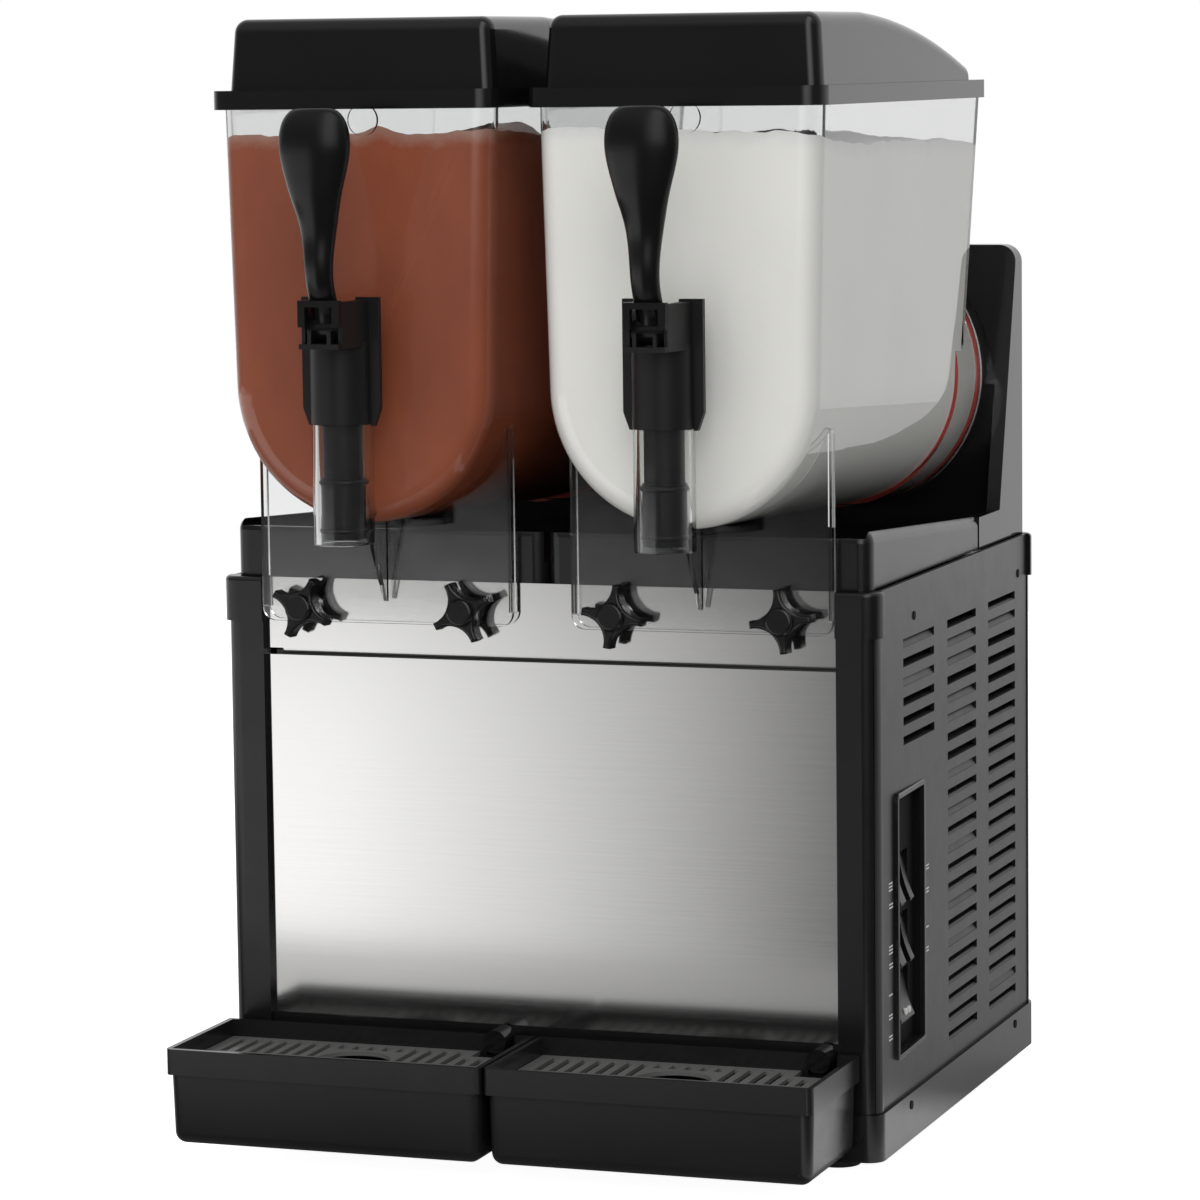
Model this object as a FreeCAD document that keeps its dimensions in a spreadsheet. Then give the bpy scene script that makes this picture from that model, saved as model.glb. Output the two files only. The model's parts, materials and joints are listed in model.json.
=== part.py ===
import FreeCAD, Part
import math
import operator
import os

import Sketcher
from FreeCAD import Placement, Rotation, Vector

# Twin-bowl slush machine. Millimetres, +Z up, front towards -Y. The origin lies on the
# surface that the machine stands on, below the middle of its box.

SIZES = {
    # Body: base pan, corner posts, panels
    "PostHalf": 200.0, "CapHalf": 202.0, "PanelHalf": 176.0, "BaseHalf": 201.5,
    "BodyFront": -124.0, "BodyBack": 230.0, "Lap": 2.0, "BaseLap": 1.5,
    "FootRadius": 13.0, "FootSide": 165.0, "FootFront": -88.0, "FootRear": 196.0,
    "BaseBottom": 10.0, "BaseTop": 37.5, "BodyTop": 338.0, "CapDrop": 26.5,
    "Skin": 2.5, "Gauge": 1.2, "PostReturn": 10.5, "PostRound": 9.0, "Seam": 0.3,
    "SteelInset": 5.0, "KickTop": 76.4, "LowerBottom": 76.7, "LowerTop": 291.5,
    "UpperBottom": 295.5, "SideOuter": 199.4,
    # Louvres of the side panels: the slots' height and step, and their three columns
    "SlotTall": 5.0, "SlotTop": 304.7, "SlotStep": 11.33,
    "ShortNear": -66.4, "ShortFar": 0.5, "MidNear": 30.0, "MidFar": 96.0,
    "RearNear": 125.0, "RearFar": 190.5,
    # Switches on the right side
    "SwitchNear": -84.0, "SwitchFar": -24.0, "SwitchLow": 65.0, "SwitchHigh": 214.0,
    "BezelBack": 190.0, "BezelFace": 193.0,
    "RockerAxis": 187.5, "RockerNear": -70.0, "RockerFar": -38.0, "RockerPin": 1.5,
    "RockerTopZ": 165.5, "RockerMidZ": 129.5, "RockerLowZ": 96.0,
    # Deck pans and the rear tower
    "DeckHalf": 195.0, "DeckFront": -118.0, "DeckSplit": 119.0, "DeckBottom": 338.0,
    "DeckHigh": 373.3, "DeckLow": 359.5, "DeckLip": 367.5, "DeckFloor": 344.0,
    "TowerHalf": 195.5, "TowerBack": 225.5, "TowerTop": 520.0, "TowerFoot": 357.5,
    "TowerToe": 169.0, "TowerShoulder": 209.0, "TowerShoulderZ": 507.0, "TowerCrown": 212.0,
    "PocketHalf": 187.0, "PocketBack": 189.5, "PocketLow": 350.0,
    # Bowls: each slopes down to the rear by Tilt degrees, about the middle of its rear rim
    "BowlCentre": 96.6, "Tilt": 2.4, "RimY": 182.0, "RimZ": 440.5,
    "BowlFront": -164.0, "BowlTop": 617.0, "BowlBack": 178.0, "BackLean": 9.0,
    "BowlRadius": 79.8, "BowlTopHalf": 84.5, "BowlWall": 3.5, "BowlRound": 13.5,
    "CollarRadius": 82.0, "RimRadius": 84.4, "RimThick": 4.0, "CollarBore": 78.6,
    "CollarLong": 48.0,
    "ApronHalf": 78.4, "ApronBottom": 312.6, "ApronFront": -126.0, "ApronThick": 3.0,
    "ApronTop": 430.0, "StudSide": 50.5, "StudZ": 321.0, "StudRadius": 3.0,
    "SlushFrontZ": 597.5, "SlushRearZ": 585.0, "SlushBore": 73.5, "SlushGap": 0.4,
    # Cold drum, auger and gear motor, as distances forward of the bowl's rear rim
    "DrumRadius": 52.0, "DrumWall": 2.5, "DrumFront": 300.0, "DrumFlange": 69.8,
    "SealInner": 70.5, "SealOuter": 81.5, "SealThick": 6.6, "BossRadius": 84.0,
    "AugerInner": 54.5, "AugerOuter": 72.0, "AugerPitch": 85.0, "AugerBlade": 5.0,
    "AugerRear": 6.0, "AugerFront": 303.0, "ShaftRadius": 7.4,
    # Taps
    "TapY": -188.0, "TubeRadius": 17.5, "TubeBore": 14.0, "TubeBottom": 365.7,
    "TubeNeck": 15.8, "TubeTop": 474.0, "PortZ": 384.0, "PortRadius": 6.0,
    "BarrelRadius": 17.8, "BarrelBottom": 434.7, "BarrelTop": 481.5, "ShelfThick": 2.9,
    "WingHalf": 23.6, "WingFoot": 20.0, "WingBottom": 433.5, "WingTop": 506.5,
    "CheekNear": -216.0, "CheekTop": 505.0, "PivotY": -208.0, "PivotZ": 489.0, "PivotRadius": 3.0,
    "CamReach": 19.0, "CamRadius": 2.5, "StemRadius": 5.0,
    "GripTop": 613.5, "GripWide": 594.0, "GripNeck": 512.0,
    "GripY": -221.5, "NeckY": -216.0, "GripHalf": 21.5, "GripDeep": 10.0, "NeckHalf": 8.2,
    "YokeHalf": 12.5, "YokeFront": -221.0, "YokeBottom": 491.0, "YokeTop": 506.0,
    "YokeSill": 502.3,
    # Lids
    "LidHalf": 87.8, "LidFront": -170.5, "LidBack": 183.6, "LidBottom": 612.3,
    "LidLap": 3.3, "LidRim": 623.2, "DomeHalf": 79.4, "DomeFront": -152.0, "DomeBack": 165.7,
    "DomeDraft": 2.8,
    "DomeTop": 663.9, "DomeBreak": -50.0, "DomeRearZ": 633.2, "DomeRearY": 162.0,
    "DomeArc": 979.0, "LidWall": 2.5,
    # Drip trays
    "TrayShift": -6.2, "TrayHalf": 97.3, "TrayGap": 0.9, "TrayFront": -220.0, "TrayBack": -126.5,
    "RimTop": 72.6, "RimBottom": 57.4, "TrayBottom": 16.2, "GrateZ": 60.0,
    "GrateThick": 2.4, "TrayWall": 2.6, "HookSide": 76.2, "HookZ": 70.2, "HookRadius": 7.0,
    "GratePitch": 9.2, "GrateSlot": 4.4,
    # Cooling unit inside the body
    "FanX": -6.0, "FanZ": 178.0, "FanRadius": 98.0,
    "FanShaft": 4.0, "CondenserLeft": -132.0, "CondenserRight": 120.0, "PipeY": 208.0,
    "CompressorX": -92.0, "CompressorY": 30.0, "CompressorRadius": 62.0,
}


class Size:
    """A length worked out from the sheet: its value now, and the expression that binds it."""

    def __init__(self, value, text):
        self.value = value
        self.text = text

    def __add__(self, other):
        return combined(self, "+", other, operator.add)

    def __radd__(self, other):
        return combined(other, "+", self, operator.add)

    def __sub__(self, other):
        return combined(self, "-", other, operator.sub)

    def __rsub__(self, other):
        return combined(other, "-", self, operator.sub)

    def __mul__(self, other):
        return combined(self, "*", other, operator.mul)

    def __rmul__(self, other):
        return combined(other, "*", self, operator.mul)

    def __truediv__(self, other):
        return combined(self, "/", other, operator.truediv)

    def __neg__(self):
        return combined(0, "-", self, operator.sub)


def sized(value):
    if isinstance(value, Size):
        return value
    return Size(value, f"{value:.6g}" if value >= 0 else f"({value:.6g})")


def combined(left, sign, right, work):
    left, right = sized(left), sized(right)
    return Size(work(left.value, right.value), f"({left.text} {sign} {right.text})")


doc = FreeCAD.newDocument("SlushMachine")
sheet = doc.addObject("Spreadsheet::Sheet", "Sizes")
for row, (name, value) in enumerate(SIZES.items(), start=1):
    sheet.set(f"A{row}", name)
    sheet.set(f"B{row}", str(value))
    sheet.setAlias(f"B{row}", name)
doc.recompute()


class Sheet:
    """The named sizes, as Sheet.BowlTop and the like."""


s = Sheet()
for name, value in SIZES.items():
    setattr(s, name, Size(value, "Sizes." + name))

TILT_COS = Size(math.cos(math.radians(s.Tilt.value)), "cos(Sizes.Tilt * 1deg)")
TILT_SIN = Size(math.sin(math.radians(s.Tilt.value)), "sin(Sizes.Tilt * 1deg)")
SIDES = {"left": -1, "right": 1}
parts = {}


def bind(item, path, value):
    item.setExpression(path, sized(value).text)


def move(item, x=0, y=0, z=0):
    for axis, value in zip("xyz", (x, y, z)):
        bind(item, "Placement.Base." + axis, value)
    return item


def keep(node, item):
    """Registers a finished sub-part: its label names its file."""
    item.Label = node
    parts[node] = item
    return item


def block(name, x, y, z):
    """A box from its low to its high value along each axis."""
    item = doc.addObject("Part::Box", name)
    for prop, axis, (low, high) in zip(("Length", "Width", "Height"), "xyz", (x, y, z)):
        bind(item, prop, sized(high) - low)
        bind(item, "Placement.Base." + axis, low)
    return item


TURNS = {"x": Rotation(Vector(0, 1, 0), 90), "y": Rotation(Vector(1, 0, 0), -90), "z": Rotation()}


def rod(name, axis, centre, radius, low, high, far_radius=None):
    """A cylinder along an axis, or a cone where it ends in another radius."""
    item = doc.addObject("Part::Cylinder" if far_radius is None else "Part::Cone", name)
    if far_radius is None:
        bind(item, "Radius", radius)
    else:
        bind(item, "Radius1", radius)
        bind(item, "Radius2", far_radius)
    bind(item, "Height", sized(high) - low)
    item.Placement = Placement(Vector(), TURNS[axis])
    others = iter(centre)
    for letter in "xyz":
        bind(item, "Placement.Base." + letter, low if letter == axis else next(others))
    return item


def group(name, items, refine=False):
    item = doc.addObject("Part::MultiFuse", name)
    item.Shapes = list(items)
    item.Refine = refine
    return item


def fuse(name, *items):
    return group(name, items, refine=True)


def cut(name, base, *tools):
    item = doc.addObject("Part::Cut", name)
    item.Base = base
    item.Tool = tools[0] if len(tools) == 1 else group(name + "Tools", tools)
    return item


def common(name, base, tool):
    item = doc.addObject("Part::Common", name)
    item.Base = base
    item.Tool = tool
    return item


def ring(name, axis, centre, outer, inner, low, high):
    return cut(name, rod(name + "Outside", axis, centre, outer, low, high),
               rod(name + "Bore", axis, centre, inner, sized(low) - 1, sized(high) + 1))


def torus(name, axis, centre, large, small):
    item = doc.addObject("Part::Torus", name)
    bind(item, "Radius1", large)
    bind(item, "Radius2", small)
    item.Placement = Placement(Vector(), TURNS[axis])
    return move(item, *centre)


def rounded(name, base, radius, wanted):
    """A fillet on the edges that a test of their box picks out."""
    doc.recompute()
    item = doc.addObject("Part::Fillet", name)
    item.Base = base
    chosen = [number for number, edge in enumerate(base.Shape.Edges, start=1) if wanted(edge.BoundBox)]
    item.Edges = [(number, radius, radius) for number in chosen]
    return item


def upright(edge):
    return edge.ZLength > 4 and edge.XLength < 0.01 and edge.YLength < 0.01


def origin_plane(body, role):
    return next(item for item in body.Origin.OriginFeatures if item.Role == role)


def outline(body, name, plane, offset, points, arcs=None):
    """A closed sketch through bound points. arcs holds, for a side that is round, its radius
    and a point that it passes near."""
    arcs = arcs or {}
    sketch = body.newObject("Sketcher::SketchObject", name)
    sketch.AttachmentSupport = [(origin_plane(body, plane), "")]
    sketch.MapMode = "FlatFace"
    bind(sketch, "AttachmentOffset.Base.z", offset)
    points = [(sized(x), sized(y)) for x, y in points]
    corners = [Vector(x.value, y.value, 0) for x, y in points]
    ends = []
    for side, start in enumerate(corners):
        end = corners[(side + 1) % len(corners)]
        if side in arcs:
            via = Vector(arcs[side][1], arcs[side][2], 0)
            clockwise = (via - start).cross(end - start).z < 0
            sketch.addGeometry(Part.Arc(end, via, start) if clockwise else Part.Arc(start, via, end), False)
            ends.append((2, 1) if clockwise else (1, 2))
        else:
            sketch.addGeometry(Part.LineSegment(start, end), False)
            ends.append((1, 2))
    rule = Sketcher.Constraint
    for side in range(len(corners)):
        after = (side + 1) % len(corners)
        sketch.addConstraint(rule("Coincident", side, ends[side][1], after, ends[after][0]))
    for side, point in enumerate(points):
        for kind, value in zip(("DistanceX", "DistanceY"), point):
            held = sketch.addConstraint(rule(kind, -1, 1, side, ends[side][0], value.value))
            bind(sketch, f"Constraints[{held}]", value)
    for side, (radius, _, _) in arcs.items():
        held = sketch.addConstraint(rule("Radius", side, sized(radius).value))
        bind(sketch, f"Constraints[{held}]", radius)
    return sketch


PLANES = {"x": "YZ_Plane", "y": "XZ_Plane", "z": "XY_Plane"}


def prism(name, axis, points, low, high, arcs=None):
    """A body padded along an axis from a sketch: (y, z) points along x, (x, z) points along y
    and (x, y) points along z. The XZ plane faces -Y, so a pad along y starts at its high end."""
    body = doc.addObject("PartDesign::Body", name)
    offset = -sized(high) if axis == "y" else low
    sketch = outline(body, name + "Sketch", PLANES[axis], offset, points, arcs)
    pad = body.newObject("PartDesign::Pad", name + "Pad")
    pad.Profile = sketch
    bind(pad, "Length", sized(high) - low)
    return body


def sloped(item, side=0):
    """Places what was built about the bowl's axis, with +Y backwards from the rear rim."""
    item.Placement = Placement(Vector(), Rotation(Vector(1, 0, 0), -s.Tilt.value))
    bind(item, "Placement.Rotation.Angle", -s.Tilt)
    return move(item, s.BowlCentre * side, s.RimY, s.RimZ)


def slanted_rod(name, foot, radius, low, high):
    """A rod along the bowls' slope, its ends measured backwards from a point."""
    pin = rod(name, "y", (0, 0), radius, low, high)
    pin.Placement = Placement(Vector(), Rotation(Vector(-1, 0, 0), 90 + s.Tilt.value))
    bind(pin, "Placement.Rotation.Angle", 90 + s.Tilt)
    x, y, z = foot
    return move(pin, x, y + TILT_COS * low, z - TILT_SIN * low)


def axial_rod(name, side, radius, low, high):
    """A rod on a bowl's own axis, its ends measured backwards from the rear rim."""
    return slanted_rod(name, (s.BowlCentre * side, s.RimY, s.RimZ), radius, low, high)


# Base and corner posts

SIDE_SCREWS = ((-43.0, 316.0), (198.0, 314.8))
BASE_SCREWS = ((-60.5, 30.6), (181.0, 31.0))


def screw_rods(name, places, face, sides=(-1, 1)):
    """Short rods that stand 0.5 mm proud of the side faces at the (y, z) places."""
    rods = []
    for side in sides:
        for count, place in enumerate(places):
            low, high = (face - 5, face + 0.5) if side > 0 else (-face - 0.5, -face + 5)
            rods.append(rod(f"{name}{count}{'R' if side > 0 else 'L'}", "x", place, 2.6, low, high))
    return rods


def case_screws():
    keep("case_screws", group("CaseScrews", screw_rods("SideScrew", SIDE_SCREWS, s.SideOuter)
                              + screw_rods("BaseScrew", BASE_SCREWS, s.BaseHalf)))


def base_pan():
    front, back = s.BodyFront - s.BaseLap - 0.5, s.BodyBack + s.BaseLap
    outside = rounded("BaseOutside", block("BaseBlock", (-s.BaseHalf, s.BaseHalf), (front, back),
                                           (s.BaseBottom, s.BaseTop)), 10.0, upright)
    hollow = block("BaseHollow", (-s.BaseHalf + 3, s.BaseHalf - 3), (front + 3, back - 3),
                   (s.BaseBottom + 3, s.BaseTop + 1))
    kick = block("Kick", (-s.PanelHalf + 0.4, s.PanelHalf - 0.4), (s.BodyFront + 3, s.BodyFront + 6),
                 (s.BaseTop - 4, s.KickTop))
    sill = block("KickSill", (-s.PanelHalf, s.PanelHalf), (front + 1, s.BodyFront + 6),
                 (s.BaseTop - 4, s.BaseTop))
    rail = block("TrayRail", (-140, 128), (s.BodyFront + 0.5, s.BodyFront + 4), (s.BaseTop - 1, 62))
    shell = cut("BaseShell", outside, hollow)
    bosses = [rod(f"FootBoss{x}{y.value > 0}", "z", (s.FootSide * x, y), 9,
                  s.BaseBottom + 2, s.BaseBottom + 12)
              for x in (-1, 1) for y in (s.FootFront, s.FootRear)]
    whole = fuse("BaseWhole", shell, kick, sill, rail, *bosses)
    keep("base_pan", cut("BasePan", whole, *screw_rods("BaseScrewHole", BASE_SCREWS, s.BaseHalf)))


def feet():
    pads = []
    for x in (-1, 1):
        for y in (s.FootFront, s.FootRear):
            name = f"Foot{'R' if x > 0 else 'L'}{'B' if y.value > 0 else 'F'}"
            centre = (s.FootSide * x, y)
            pads.append(rod(name, "z", centre, s.FootRadius, 0, s.BaseBottom, s.FootRadius - 2))
    keep("feet", group("Feet", pads))


def outer_corner(edge):
    """True for an upright edge at one of the machine's four outer corners."""
    return upright(edge) and abs(edge.Center.x) > 195 and not -120 < edge.Center.y < 225


def corner_post(node, x, y):
    """An angle post with a wider square cap; the outer upright edges are round."""
    tag = node.title().replace("_", "")
    wide, deep = (24.0, s.PostReturn) if y < 0 else (10.0, sized(10.0))
    if y < 0:
        ys = (s.BodyFront, s.BodyFront + deep)
        cap_ys = (s.BodyFront - s.Lap, s.BodyFront + deep)
    else:
        ys = (s.BodyBack - deep, s.BodyBack)
        cap_ys = (s.BodyBack - deep, s.BodyBack + s.Lap)
    xs = (s.PostHalf - wide, s.PostHalf)
    cap_xs = (s.PostHalf - wide, s.CapHalf)
    if x < 0:
        xs = (-xs[1], -xs[0])
        cap_xs = (-cap_xs[1], -cap_xs[0])
    shaft = rounded(tag + "Shaft", block(tag + "ShaftBlock", xs, ys, (s.BaseTop, s.BodyTop - s.CapDrop)),
                    s.PostRound.value, outer_corner)
    cap = rounded(tag + "CapRound", block(tag + "CapBlock", cap_xs, cap_ys,
                                          (s.BodyTop - s.CapDrop, s.BodyTop)),
                  s.PostRound.value + 1, outer_corner)
    crown = rounded(tag + "Crown", cap, 2.5, lambda edge: edge.ZMax > s.BodyTop.value - 0.01
                    and edge.ZLength < 0.01 and (abs(edge.Center.x) > 201 or abs(edge.Center.y) > 125.5
                                                 and y < 0 or edge.Center.y > 231))
    inner_x = (xs[0] + s.Skin, xs[1] - s.Skin)
    inner_y = (ys[0] + s.Skin, ys[1] + 1) if y < 0 else (ys[0] - 1, ys[1] - s.Skin)
    hollow = block(tag + "Hollow", inner_x, inner_y, (s.BaseTop - 1, s.BodyTop - s.CapDrop))
    keep(node, cut(tag, fuse(tag + "Whole", shaft, crown), hollow))


# Panels

def louvre_columns(tag, low_x, high_x):
    """The slots' cutters: a short column of 6 and two long ones of 23."""
    cutters = []
    for near, far, count in ((s.ShortNear, s.ShortFar, 6), (s.MidNear, s.MidFar, 23),
                             (s.RearNear, s.RearFar, 23)):
        for step in range(count):
            top = s.SlotTop - s.SlotStep * step
            cutters.append(block(f"{tag}Slot{len(cutters)}", (low_x, high_x), (near, far),
                                 (top - s.SlotTall, top)))
    return cutters


def side_panel(label, side):
    tag = "Side" + label.title()
    xs = (s.SideOuter - s.Skin, s.SideOuter)
    if side < 0:
        xs = (-xs[1], -xs[0])
    sheet_y = (s.BodyFront + s.PostReturn, s.BodyBack - 10)
    plate = block(tag + "Plate", xs, sheet_y, (s.BaseTop, s.BodyTop - s.Seam))
    cutters = louvre_columns(tag, xs[0] - 1, xs[1] + 1)
    if side > 0:
        cutters.append(block("SwitchOpening", (xs[0] - 1, xs[1] + 1), (s.SwitchNear, s.SwitchFar),
                             (s.SwitchLow, s.SwitchHigh)))
    cutters += screw_rods(tag + "ScrewHole", SIDE_SCREWS, s.SideOuter, sides=(side,))
    keep("side_panel_" + label, cut(tag, plate, *cutters))


def rear_panel():
    plate = block("RearPlate", (-s.PostHalf + 10, s.PostHalf - 10), (s.BodyBack - 2.8, s.BodyBack - 0.4),
                  (s.BaseTop, s.BodyTop - s.Seam))
    cutters = []
    for near in (-150.0, -45.0, 60.0):
        for step in range(17):
            top = s.SlotTop - 20 - s.SlotStep * step
            cutters.append(block(f"RearSlot{len(cutters)}", (near, near + 90),
                                 (s.BodyBack - 4, s.BodyBack + 1), (top - s.SlotTall, top)))
    cutters.append(inlet_block("InletHole"))
    keep("rear_panel", cut("RearPanel", plate, *cutters))


def steel_sheet(node, low, high, holes=()):
    """A front sheet with its edges turned back."""
    tag = node.title().replace("_", "")
    outer = s.BodyFront + s.SteelInset
    whole = block(tag + "Block", (-s.PanelHalf, s.PanelHalf), (outer, outer + 8), (low, high))
    hollow = block(tag + "Hollow", (-s.PanelHalf + s.Gauge, s.PanelHalf - s.Gauge),
                   (outer + s.Gauge, outer + 9), (low + s.Gauge, high - s.Gauge))
    keep(node, cut(tag, whole, hollow, *holes))


def stud_row(name, radius, low, high):
    """Rods along the bowls' slope, at the places of the four knobs."""
    return [slanted_rod(f"{name}{label}{hand}", (s.BowlCentre * side + s.StudSide * hand,
                                                 s.ApronFront, s.StudZ), radius, low, high)
            for label, side in SIDES.items() for hand in (-1, 1)]


def front_sheets():
    holes = stud_row("StripHole", s.StudRadius + 0.5, 0, 30)
    steel_sheet("strip_upper", s.UpperBottom, s.BodyTop - s.Seam, holes)
    steel_sheet("panel_lower", s.LowerBottom, s.LowerTop)


def bowl_studs():
    """Threaded studs with a shoulder that keeps the apron off the steel."""
    studs = [fuse(f"Stud{count}", *pair) for count, pair in enumerate(zip(
        stud_row("StudRod", s.StudRadius, -12, 24), stud_row("StudShoulder", 7, 3.5, 6.5)))]
    keep("bowl_studs", group("BowlStuds", studs))


def top_plate():
    """The inner steel plate that carries the deck, the tower and the drums."""
    inner = s.SideOuter - s.Skin
    plate = block("TopPlateBlock", (-inner, inner), (s.BodyFront + 15, s.BodyBack - 12), (329, 331))
    holes = [rod("PipeHole" + label, "z", (s.BowlCentre * side, s.PipeY), 9, 320, 340)
             for label, side in SIDES.items()]
    holes += stud_row("LedgeHole", s.StudRadius, 0, 30)
    ledge = block("TopPlateLedge", (-174, 174), (s.BodyFront + 15, s.BodyFront + 17), (282, 331))
    keep("top_plate", cut("TopPlate", fuse("TopPlateWhole", plate, ledge), *holes))


# Deck and tower

def deck_pan(label, side):
    """One of the two drip pans below the bowls, with its high side rail falling to the rear."""
    tag = "Deck" + label.title()
    rail = [(s.DeckFront, s.DeckBottom), (s.DeckFront, s.DeckHigh), (s.DeckSplit, s.DeckLow),
            (s.DeckSplit, s.DeckBottom)]
    outer = (0.3, s.DeckHalf) if side > 0 else (-s.DeckHalf, -0.3)
    whole = rounded(tag + "Round", prism(tag + "Block", "x", rail, *outer), 8.0,
                    lambda edge: edge.ZMax > 345 and edge.Center.y < 110
                    and (abs(edge.Center.x) > 190 or edge.Center.y < -117))
    room_x = (-1, s.DeckHalf - 3) if side > 0 else (-s.DeckHalf + 3, 1)
    above = block(tag + "Above", room_x, (s.DeckFront - 1, s.DeckSplit + 1), (s.DeckLip, s.DeckHigh + 1))
    inner_x = (2.8, s.DeckHalf - 3) if side > 0 else (-s.DeckHalf + 3, -2.8)
    inside = block(tag + "Inside", inner_x, (s.DeckFront + 3, s.DeckSplit + 1), (s.DeckFloor, s.DeckHigh + 1))
    middle = block(tag + "Middle", (-4, 4), (s.DeckFront + 3, s.DeckSplit + 1), (s.PocketLow, s.DeckHigh + 1))
    below = block(tag + "Below", inner_x, (s.DeckFront + 3, s.DeckSplit - 3),
                  (s.DeckBottom - 1, s.DeckFloor - 2.5))
    keep("deck_pan_" + label, cut(tag, whole, above, inside, middle, below))


def tower():
    profile = [(s.DeckSplit + 0.3, s.DeckBottom), (s.DeckSplit + 0.3, s.TowerFoot), (s.TowerToe, s.TowerFoot),
               (s.TowerShoulder, s.TowerShoulderZ), (s.TowerCrown, s.TowerTop), (s.TowerBack, s.TowerTop),
               (s.TowerBack, s.DeckBottom)]
    whole = prism("TowerBlock", "x", profile, -s.TowerHalf, s.TowerHalf)
    eased = rounded("TowerEased", whole, 11.0, lambda edge: edge.XLength < 0.01 and edge.ZMin > 519)
    inner = [(s.PocketBack + 3, s.DeckBottom - 1), (s.PocketBack + 3, 433),
             (s.TowerShoulder + 3.2, s.TowerShoulderZ), (s.TowerShoulder + 5, s.TowerTop - 3),
             (s.TowerBack - 2.5, s.TowerTop - 3), (s.TowerBack - 2.5, s.DeckBottom - 1)]
    hollow = prism("TowerHollow", "x", inner, -s.TowerHalf + 8, s.TowerHalf - 8)
    pocket = block("TowerPocket", (-s.PocketHalf, s.PocketHalf), (s.DeckSplit - 1, s.PocketBack),
                   (s.PocketLow, s.TowerTop + 1))
    under = block("TowerUnder", (-s.PocketHalf, s.PocketHalf), (s.DeckSplit + 3, s.PocketBack - 3),
                  (s.DeckBottom - 1, s.PocketLow - 2.5))
    shell = cut("TowerShell", eased, hollow, pocket, under)
    bosses = [axial_rod("Boss" + label, side, s.BossRadius, s.SealThick, 20) for label, side in SIDES.items()]
    bores = [axial_rod("BossBore" + label, side, s.DrumFlange, -2, 30) for label, side in SIDES.items()]
    keep("tower", cut("Tower", fuse("TowerWhole", shell, *bosses), *bores))


# Bowls

def trough(name, inset, front_round):
    """The inside or outside of a bowl: a U bar along the sloping axis, cut by an upright front, a level
    top and a leaning back, with the front edge round."""
    body = doc.addObject("PartDesign::Body", name + "Bar")
    radius, half, rise = s.BowlRadius - inset, s.BowlTopHalf - inset, 190.0
    sketch = body.newObject("Sketcher::SketchObject", name + "Sketch")
    sketch.AttachmentSupport = [(origin_plane(body, "XZ_Plane"), "")]
    sketch.MapMode = "FlatFace"
    bind(sketch, "AttachmentOffset.Base.z", -50)
    left_top, left, right, right_top = (Vector(-half.value, rise, 0), Vector(-radius.value, 0, 0),
                                        Vector(radius.value, 0, 0), Vector(half.value, rise, 0))
    sketch.addGeometry(Part.LineSegment(left_top, left), False)
    sketch.addGeometry(Part.Arc(left, Vector(0, -radius.value, 0), right), False)
    sketch.addGeometry(Part.LineSegment(right, right_top), False)
    sketch.addGeometry(Part.LineSegment(right_top, left_top), False)
    left_end, right_end = (1, 2) if (sketch.Geometry[1].StartPoint - left).Length < 0.001 else (2, 1)
    rule = Sketcher.Constraint
    sketch.addConstraint([rule("Tangent", 0, 2, 1, left_end), rule("Tangent", 1, right_end, 2, 1),
                          rule("Coincident", 2, 2, 3, 1), rule("Coincident", 3, 2, 0, 1)])
    for line, end, x in ((0, 1, -half), (2, 2, half)):
        held = sketch.addConstraint(rule("DistanceX", -1, 1, line, end, x.value))
        bind(sketch, f"Constraints[{held}]", x)
        sketch.addConstraint(rule("DistanceY", -1, 1, line, end, rise))
    held = sketch.addConstraint(rule("Radius", 1, radius.value))
    bind(sketch, f"Constraints[{held}]", radius)
    sketch.addConstraint(rule("DistanceX", -1, 1, 1, 3, 0.0))
    sketch.addConstraint(rule("DistanceY", -1, 1, 1, 3, 0.0))
    pad = body.newObject("PartDesign::Pad", name + "Pad")
    pad.Profile = sketch
    bind(pad, "Length", 440)
    sloped(body)
    lean = math.tan(math.radians(s.BackLean.value))
    front, back = s.BowlFront + inset, s.BowlBack - inset
    side_view = [(front, 250), (front, s.BowlTop), (back, s.BowlTop), (back - 367 * lean, 250)]
    trim = prism(name + "Trim", "x", side_view, -100, 100)
    trimmed = common(name + "Trimmed", body, trim)
    return rounded(name, trimmed, front_round, lambda edge: edge.YMax < front.value + 0.1
                   and edge.ZMin < 600)


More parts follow.
